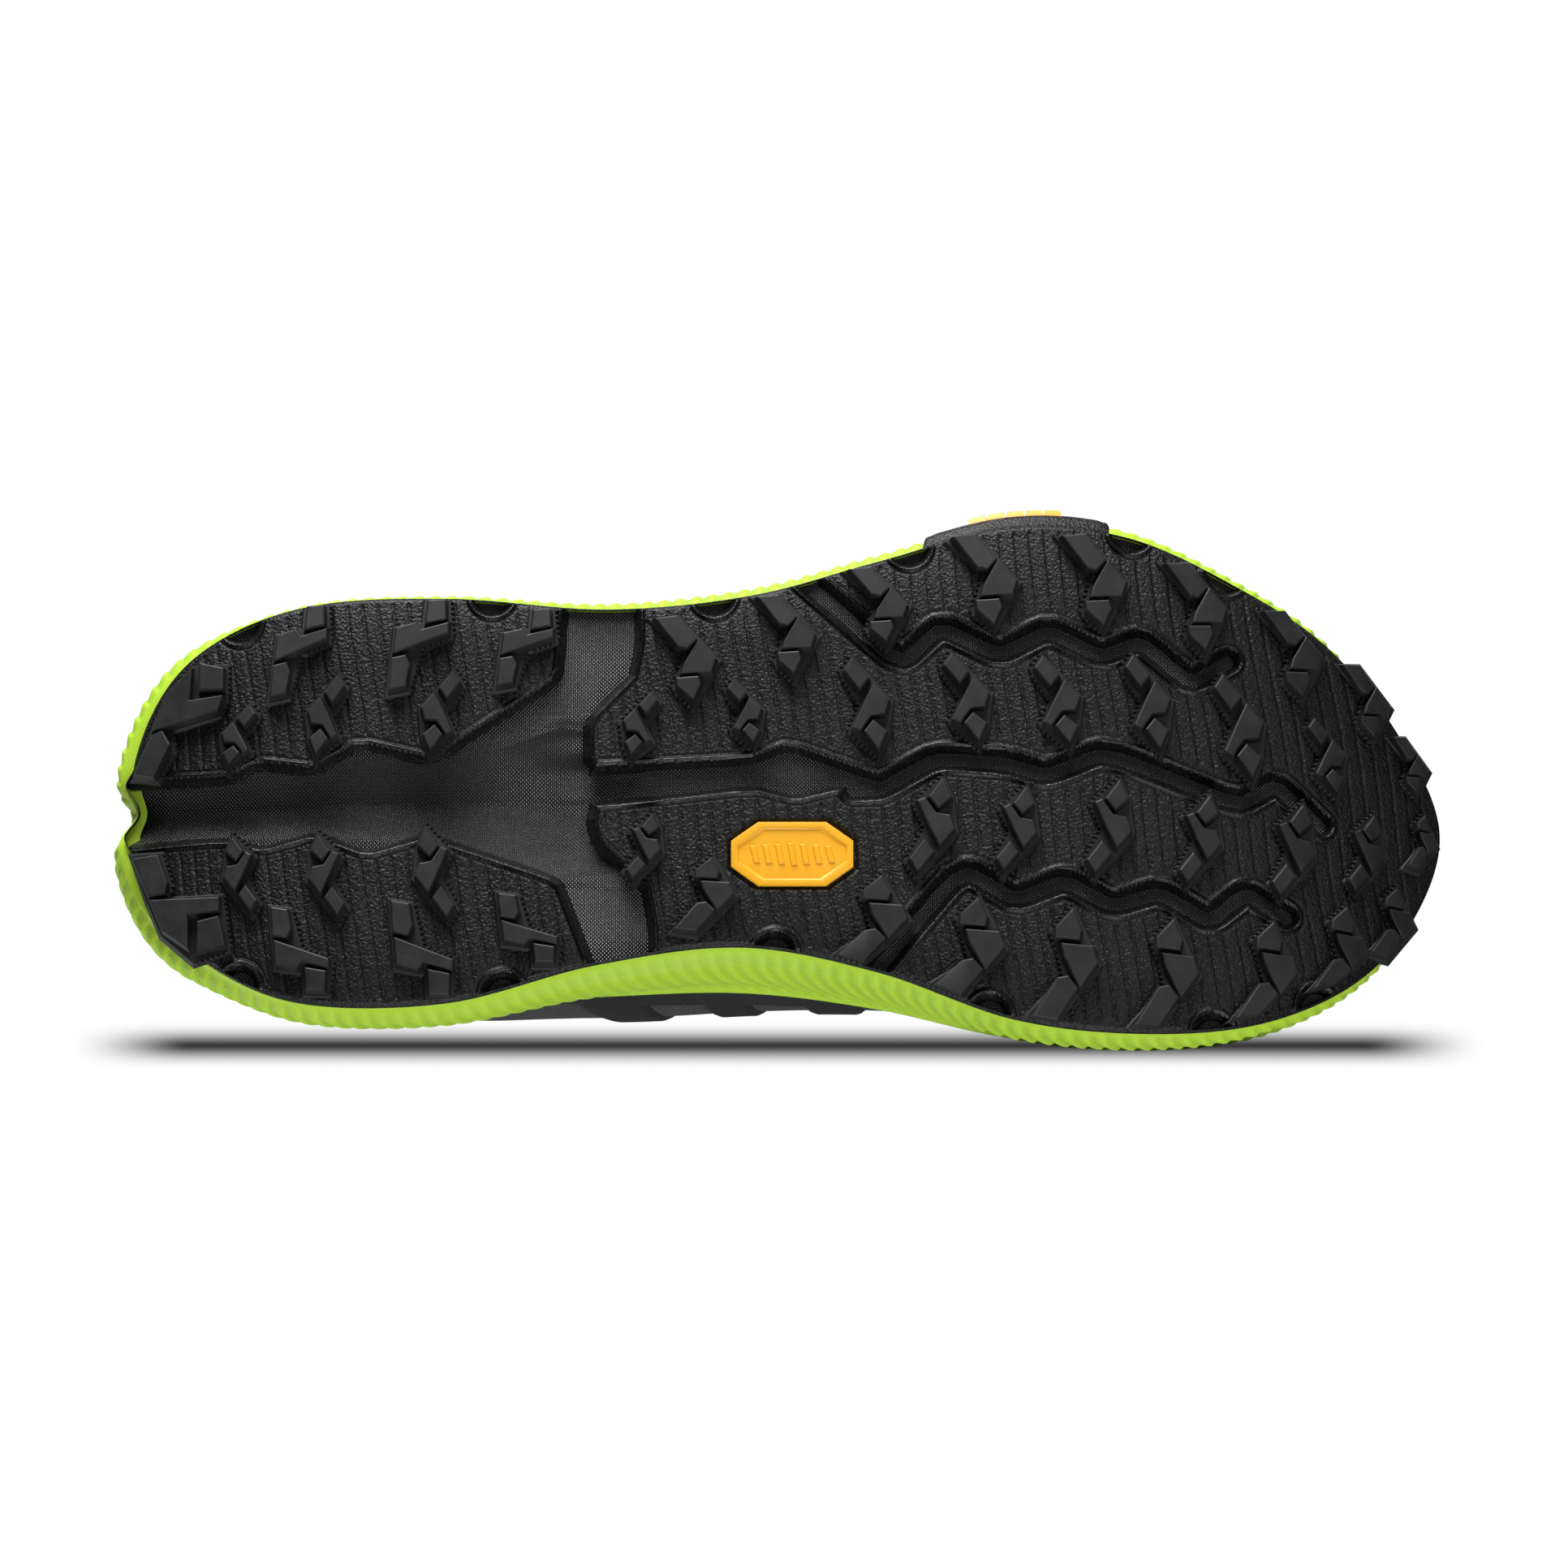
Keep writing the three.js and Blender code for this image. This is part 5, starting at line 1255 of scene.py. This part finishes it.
def buildToeCap():
    shape = toeCapShape
    share = evenShares(shape["from"], shape["tip"], shape["step"])
    t = np.linspace(0, 1, 18)[None, :]
    halves = []
    for side in (-1, 1):
        x = last.middle(share)[:, None]
        x = x + (shape["back"] + shape["slant"] * t - x[0]) * (1 - smooth(shape["from"], 285, x))
        shares = np.where(x < 285, last.shareAt(x), np.maximum(share[:, None], last.shareAt(x)))
        low = riseAt(shares, rim(np.minimum(x, shape["tip"])) - 1.5)
        high = shape["top"] + shape["topRise"] * smooth(264, shape["tip"], x)
        points = onArch(shares, side, low + (high - low) * t, -shape["height"])
        halves.append(points if side < 0 else points[::-1][1:])
    points = np.concatenate(halves)
    inward = unit(np.array([240.0, float(ridge(240.0)), 30.0]) - points)
    sunk = shape["border"] * (1 - domed(*points.shape[:2]))[..., None]
    addGrid("toe_bumper", points + inward * sunk, film, "overlay_film", stands=("toe_cap",))
    print("toe bumper done")


heelClipShape = {"from": 7, "to": 56, "step": 1.0, "topX": [0, 14, 38, 50, 56],
                 "topZ": [68, 66, 51, 44, 41.5],
                 "height": 1.3, "border": 1.5, "ribs": 0.35, "ribPitch": 1.15}


def buildHeelClip():
    shape = heelClipShape
    share = evenShares(shape["from"], shape["to"], shape["step"])
    t = np.linspace(0, 1, 22)[None, :]
    halves = []
    for side in (-1, 1):
        x = last.middle(share)
        top = np.interp(x, shape["topX"], shape["topZ"])
        low, high = riseAt(share, rim(x) - 1.5)[:, None], riseAt(share, top)[:, None]
        points = onArch(share[:, None], side, low + (high - low) * t, -shape["height"])
        halves.append(points[::-1] if side < 0 else points[1:])
    points = np.concatenate(halves)
    border = domed(*points.shape[:2])
    inward = unit(([60.0, 0, 50.0] - points) * [1, 1, 0.3])
    waves = np.maximum(0, np.sin(points[..., 2] / shape["ribPitch"]))
    ribs = shape["ribs"] * waves * border * smooth(44, 50, points[..., 2])
    addGrid("heel_clip_film", points + inward * ((1 - border) * shape["border"] + ribs)[..., None], film,
            "overlay_film",
            stands=("heel_clip",))
    print("heel clip done")


paddingShape = {"front": 88, "drop": 31, "outer": 2.3, "thick": 6.4}


def buildCollar():
    shape = paddingShape
    share = evenShares(7, shape["front"], 1.3)
    turn = np.linspace(0, 2 * math.pi, 34, endpoint=False)
    halves = []
    for side in (-1, 1):
        x = last.middle(share)[:, None]
        taper = np.sqrt(np.clip((shape["front"] - x) / 14, 0.02, 1))
        across, upright = oval(turn, 0.8, 0.62)
        across = across * 0.5 + 0.5
        seamLine = 0.7 * swell(upright, 0.1, 0.12) * (across > 0.6)
        depth = shape["outer"] + (shape["thick"] * across * taper) - seamLine[None, :]
        depth = depth + 0.5 * np.sin(x / 5.5) * 0.25 * across
        middle = collarLine(x) - 0.6 - shape["drop"] / 2
        z = middle + (shape["drop"] / 2 * (0.5 + 0.5 * taper)) * upright[None, :]
        z = np.minimum(z, collarLine(x) - 0.6)
        shares = np.broadcast_to(share[:, None], depth.shape)
        points = onArch(shares, side, riseAt(shares, z, depth), depth)
        halves.append(points[::-1] if side < 0 else points[1:])
    points = np.concatenate(halves)
    closed = np.concatenate([points, points[:, :1]], 1)
    pad = addGrid("collar_pad", closed, lining, "lining", stands=("collar_padding",))
    print("collar done")


# the edge as steps of inset and height over the footbed
socklinerShape = {"edge": ((-5.2, 1.9), (-4.95, 4.2), (-5.4, 5.6), (-6.6, 6.0)), "top": 6.0, "cup": 0.0015,
                  "columns": 260}


def buildSockliner():
    shape = socklinerShape
    half = shape["columns"]
    share = np.concatenate([np.linspace(0, 1, half), np.linspace(1, 0, half)[1:-1]])
    left = np.arange(len(share)) < half
    rings = []
    for grow, rise in shape["edge"]:
        plan = np.where(left[:, None], last.at(share, -1, grow), last.at(share, 1, grow))
        x = last.middle(share)
        rings.append(np.stack([plan[:, 0], plan[:, 1], footbed(x) + rise + shape["cup"] * plan[:, 1] ** 2],
                              1))
    centre = rings[-1]
    for shrink in (0.85, 0.6, 0.3, 0.0):
        x = last.middle(share)
        middle = np.stack([x, (last.at(share, -1)[:, 1] + last.at(share, 1)[:, 1]) / 2], 1)
        plan = middle + (centre[:, :2] - middle) * shrink
        z = footbed(x) + shape["top"] + shape["cup"] * plan[:, 1] ** 2
        rings.append(np.stack([plan[:, 0], plan[:, 1], z], 1))
    points = np.stack(rings, 1)
    addGrid("sockliner_top", points, footFabric, "lining", closed=True, stands=("sockliner",))
    print("sockliner done")


tongueShape = {"low": 84, "high": 206, "wide": 24, "narrow": 18, "depth": 3.6, "thick": 5.0}


def buildTongue():
    shape = tongueShape
    xs = np.concatenate([shape["low"] + 10 * (1 - np.cos(np.linspace(0, math.pi / 2, 12))),
                         np.linspace(shape["low"] + 11, shape["high"], 92)])
    turn = np.linspace(0, 2 * math.pi, 56, endpoint=False)
    across, height = oval(turn, 0.75, 0.55)
    x = xs[:, None]
    part = (x - shape["low"]) / (shape["high"] - shape["low"])
    half = shape["wide"] + (shape["narrow"] - shape["wide"]) * part
    end = np.sqrt(np.clip((x - shape["low"]) / 9, 0, 1))
    # the round top
    half = half * (0.6 + 0.4 * np.sqrt(1 - (1 - np.clip((x - shape["low"]) / 10, 0, 1)) ** 2))
    y = ridge(x) + half * across[None, :]
    thick = shape["thick"] * end * (1 - 0.55 * smooth(0.55, 1, part))
    quilt = 0.75 * swell(np.abs(across), 0.55, 0.07)[None, :] * smooth(0.1, 0.2, part)
    rows = 0.5 * swell(x % 17, 8.5, 0.9) * (np.abs(across) < 0.5)[None, :] * smooth(0.1, 0.2, part)
    depth = shape["depth"] + 0.15 + shape["thick"] / 2 - height[None, :] * thick / 2
    depth = depth + (quilt + rows) * (height > 0)[None, :] * np.minimum(1, thick)
    points = onSkin(x, y, depth)
    closed = np.concatenate([points, points[:, :1]], 1)
    pad = addGrid("padded_tongue", closed, lining, "lining", body="tongue_body", stands=("tongue",))
    print("tongue done")


# Laces, loops and eyelets
laceShape = {"width": 5.0, "thick": 1.9, "rise": 3.0, "rows": [186, 171, 156, 141, 126]}
loopShape = {"hole": 7.0, "height": 3.8, "wall": 0.9, "length": 6.0, "inset": 5.6}
eyeletShape = {"x": 111, "inset": 6.4, "hole": 3.4, "ring": 5.2, "thick": 0.8, "rise": 7.0}
lacingRows = [*laceShape["rows"], eyeletShape["x"]]


def loopAt(row, side):
    x = lacingRows[row]
    inset = eyeletShape["inset"] if row == 5 else loopShape["inset"]
    return skinFrame(x, float(ridge(x)) + side * (float(throatHalf(x)) + inset), -1.5)


def loopDirection(row, side):
    normal = loopAt(row, side)[1]
    along = loopAt(min(row + 1, 5), side)[0] - loopAt(max(row - 1, 0), side)[0]
    return unit(along - normal * np.dot(along, normal))


def loopCentre(row, side):
    point, normal = loopAt(row, side)
    return point + normal * (0.65 + loopShape["wall"] + loopShape["height"] / 2)


def heldPoints(row, side, first, downwards):
    point, normal = loopAt(row, side)
    if row == 5:
        points = [point + normal * h for h in (eyeletShape["rise"], 1.8, -1, -3.2)]
        return [(p, normal) for p in (points[::-1] if first else points)]
    along = loopDirection(row, side) * (-1 if downwards else 1)
    return [(loopCentre(row, side) + along * d, normal) for d in (-5, -3, 3, 5)]


def laceKnots():
    down = [(5 - i, 1 if i % 2 else -1) for i in range(6)]
    order = down + [(row, -side) for row, side in reversed(down)]
    knots = []
    for i, (row, side) in enumerate(order):
        knots += heldPoints(row, side, i == 0, i <= 5)
        if i + 1 == len(order):
            break
        level = row == order[i + 1][0]
        x = lacingRows[row] + 9 if level else (lacingRows[row] + lacingRows[order[i + 1][0]]) / 2
        over = 0 if level or i < 5 else 3.1
        z = float(skinHeight(np.array(x), ridge(x))) + laceShape["rise"] + (1 if level else 0) + over
        knots.append((np.array([x, float(ridge(x)), z]), np.array([0.33, 0, 0.944])))
    return knots


def alongCurve(points, per):
    # a smooth run through points, with knots spaced by the root of their distance
    points = np.asarray(points, float)
    ends = np.vstack([2 * points[0] - points[1], points, 2 * points[-1] - points[-2]])
    run, marks = [], []
    for i in range(1, len(ends) - 2):
        p0, p1, p2, p3 = ends[i - 1:i + 3]
        d0, d1, d2 = (max(np.linalg.norm(b - a) ** 0.5, 1e-4) for a, b in ((p0, p1), (p1, p2), (p2, p3)))
        m1 = ((p1 - p0) / d0 - (p2 - p0) / (d0 + d1) + (p2 - p1) / d1) * d1
        m2 = ((p2 - p1) / d1 - (p3 - p1) / (d1 + d2) + (p3 - p2) / d2) * d1
        for t in np.linspace(0, 1, per, endpoint=False):
            run.append(p1 * (2 * t ** 3 - 3 * t ** 2 + 1) + m1 * (t ** 3 - 2 * t ** 2 + t)
                       + p2 * (3 * t ** 2 - 2 * t ** 3) + m2 * (t ** 3 - t ** 2))
            marks.append(i - 1 + t)
    run.append(points[-1])
    marks.append(len(points) - 1)
    return np.array(run), np.array(marks)


def buildLace():
    knots = laceKnots()
    run, marks = alongCurve([k[0] for k in knots], 8)
    hints = np.array([k[1] for k in knots])
    tangent = unit(np.gradient(run, axis=0))
    low = np.minimum(marks.astype(int), len(knots) - 2)
    hint = hints[low] + (hints[low + 1] - hints[low]) * (marks - low)[:, None]
    steep = np.abs(np.sum(tangent * hint, 1)) > 0.9
    hint = np.where(steep[:, None], np.array([1, 0, 0.3]), hint)
    wideWay = unit(np.cross(hint, tangent))
    for i in range(1, len(wideWay)):
        if np.dot(wideWay[i], wideWay[i - 1]) < 0:
            wideWay[i] = -wideWay[i]
    for _ in range(6):
        wideWay[1:-1] = wideWay[1:-1] * 0.5 + (wideWay[:-2] + wideWay[2:]) * 0.25
    wideWay = unit(wideWay - tangent * np.sum(wideWay * tangent, 1, keepdims=True))
    up = np.cross(tangent, wideWay)
    turn = np.linspace(0, 2 * math.pi, 20)
    a, b = oval(turn, 0.8, 0.7)
    a, b = a * laceShape["width"] / 2 * 0.97, b * laceShape["thick"] / 2
    points = run[:, None] + wideWay[:, None] * a[None, :, None] + up[:, None] * b[None, :, None]
    addGrid("flat_lace", points, cordWeave, "lace_cord", stands=("lace",))
    print("lace done")


def buildLoops():
    turn = np.linspace(0, 2 * math.pi, 36)
    plain = np.stack(oval(turn, 0.62, 0.62), 1)
    a, b = loopShape["hole"] / 2, loopShape["height"] / 2
    wall, reach = loopShape["wall"], loopShape["length"] / 2
    section = [(wall, -reach + 0.3), (wall, -reach * 0.5), (wall, 0), (wall, reach * 0.5),
               (wall, reach - 0.3),
                (wall * 0.8, reach), (wall * 0.2, reach), (0, reach - 0.3), (0, 0), (0, -reach + 0.3),
                (wall * 0.2, -reach), (wall * 0.8, -reach), (wall, -reach + 0.3)]
    for side, name in ((-1, "lateral"), (1, "medial")):
        for row in range(5):
            _, normal = loopAt(row, side)
            along, centre = loopDirection(row, side), loopCentre(row, side)
            across = np.cross(normal, along)
            rings = []
            for out, travel in section:
                plan = plain * [a + out, b + out]
                rings.append(centre + across * plan[:, :1] + normal * plan[:, 1:] + along * travel)
            points = np.stack(rings, 1)
            addGrid(f"webbing_loop_{name}_{row + 1}", points, webbing, "webbing", sharp=60,
                    stands=(f"lace_loop_{name}_{row + 1}",))
        point, normal = loopAt(5, side)
        across = unit(np.cross(normal, [1.0, 0, 0.2]))
        along = np.cross(across, normal)
        rings = []
        hole, ring, thick = eyeletShape["hole"], eyeletShape["ring"], eyeletShape["thick"]
        for r, h in ((hole, -0.6), (hole, thick), (hole + 0.25, thick + 0.45),
                     ((hole + ring) / 2, thick + 0.6),
                     (ring - 0.3, thick + 0.35), (ring, 0.3), (ring, -0.1)):
            spokes = across * np.cos(turn)[:, None] + along * np.sin(turn)[:, None]
            rings.append(point + normal * (h + 0.25) + r * spokes)
        addGrid("eyelet_ring_" + name, np.stack(rings, 1), film, "overlay_film", stands=("eyelet_" + name,))
    print("loops and eyelets done")


strapShape = {"low": 93, "collar": 106.0, "fold": 106.3, "high": 121.3, "width": 14, "thick": 2.4}


def strapRings(low, high, rows, tip=False):
    width, thick = strapShape["width"], strapShape["thick"]
    zs = np.linspace(low, high, rows)
    turn = np.linspace(0, 2 * math.pi, 40)
    front = 7 + heelCurve(np.full(rows, 7.0), np.minimum(zs, strapShape["fold"])) - 0.9
    rings = []
    for i, z in enumerate(zs):
        near = min(1, (high - z) / 1.2 + 0.02) if tip else 1
        shrink = math.sqrt(max(0.0, 1 - (1 - near) ** 2))
        a, b = oval(turn, 0.35, 0.5)
        a, b = a * (width / 2 - (1 - shrink) * 0.8), b * thick / 2 * max(shrink, 0.1)
        rings.append(np.stack([front[i] - thick / 2 + b, a, np.full(len(turn), z)], 1))
    return np.stack(rings)


def buildPullTab():
    shape = strapShape
    addGrid("heel_strap_foot", strapRings(shape["low"], shape["collar"], 16), webbing, "webbing",
            stands=("pull_tab_base",))
    addGrid("heel_strap_tab", strapRings(shape["fold"], shape["high"], 30, True), webbing, "webbing",
            body="pull_tab_body", stands=("pull_tab",))
    for name, low, high, body in (("heel_strap_foot_stitches", 95, 104.5, "shoe"),
                                  ("heel_strap_tab_stitches", 108.5, 119.5, "pull_tab_body")):
        heap = Heap()
        back = lambda z: 7 + float(heelCurve(7.0, min(z, 106.3))) - 0.9 - 2.4 - 0.05
        for y in (-5.2, 5.2):
            for z in np.arange(low, high - 1, 2.4):
                addStitch(heap, (back(z), y, z), (back(z + 1.7), y + 0.01, z + 1.7), 0.28)
        heap.add(name, thread, "webbing", body=body)
    print("pull tab done")


def dress(node, finish):
    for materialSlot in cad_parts[node].material_slots:
        materialSlot.material = finish.material


for build in (buildShell, buildSaddles, buildEyestays, buildToeCap, buildHeelClip, buildCollar,
              buildSockliner,
              buildTongue, buildLace, buildLoops, buildPullTab):
    build()
for node, finish in (("strobel_board", board), ("heel_counter", stiffener), ("toe_puff", stiffener),
                     ("tongue_patch", film)):
    dress(node, finish)
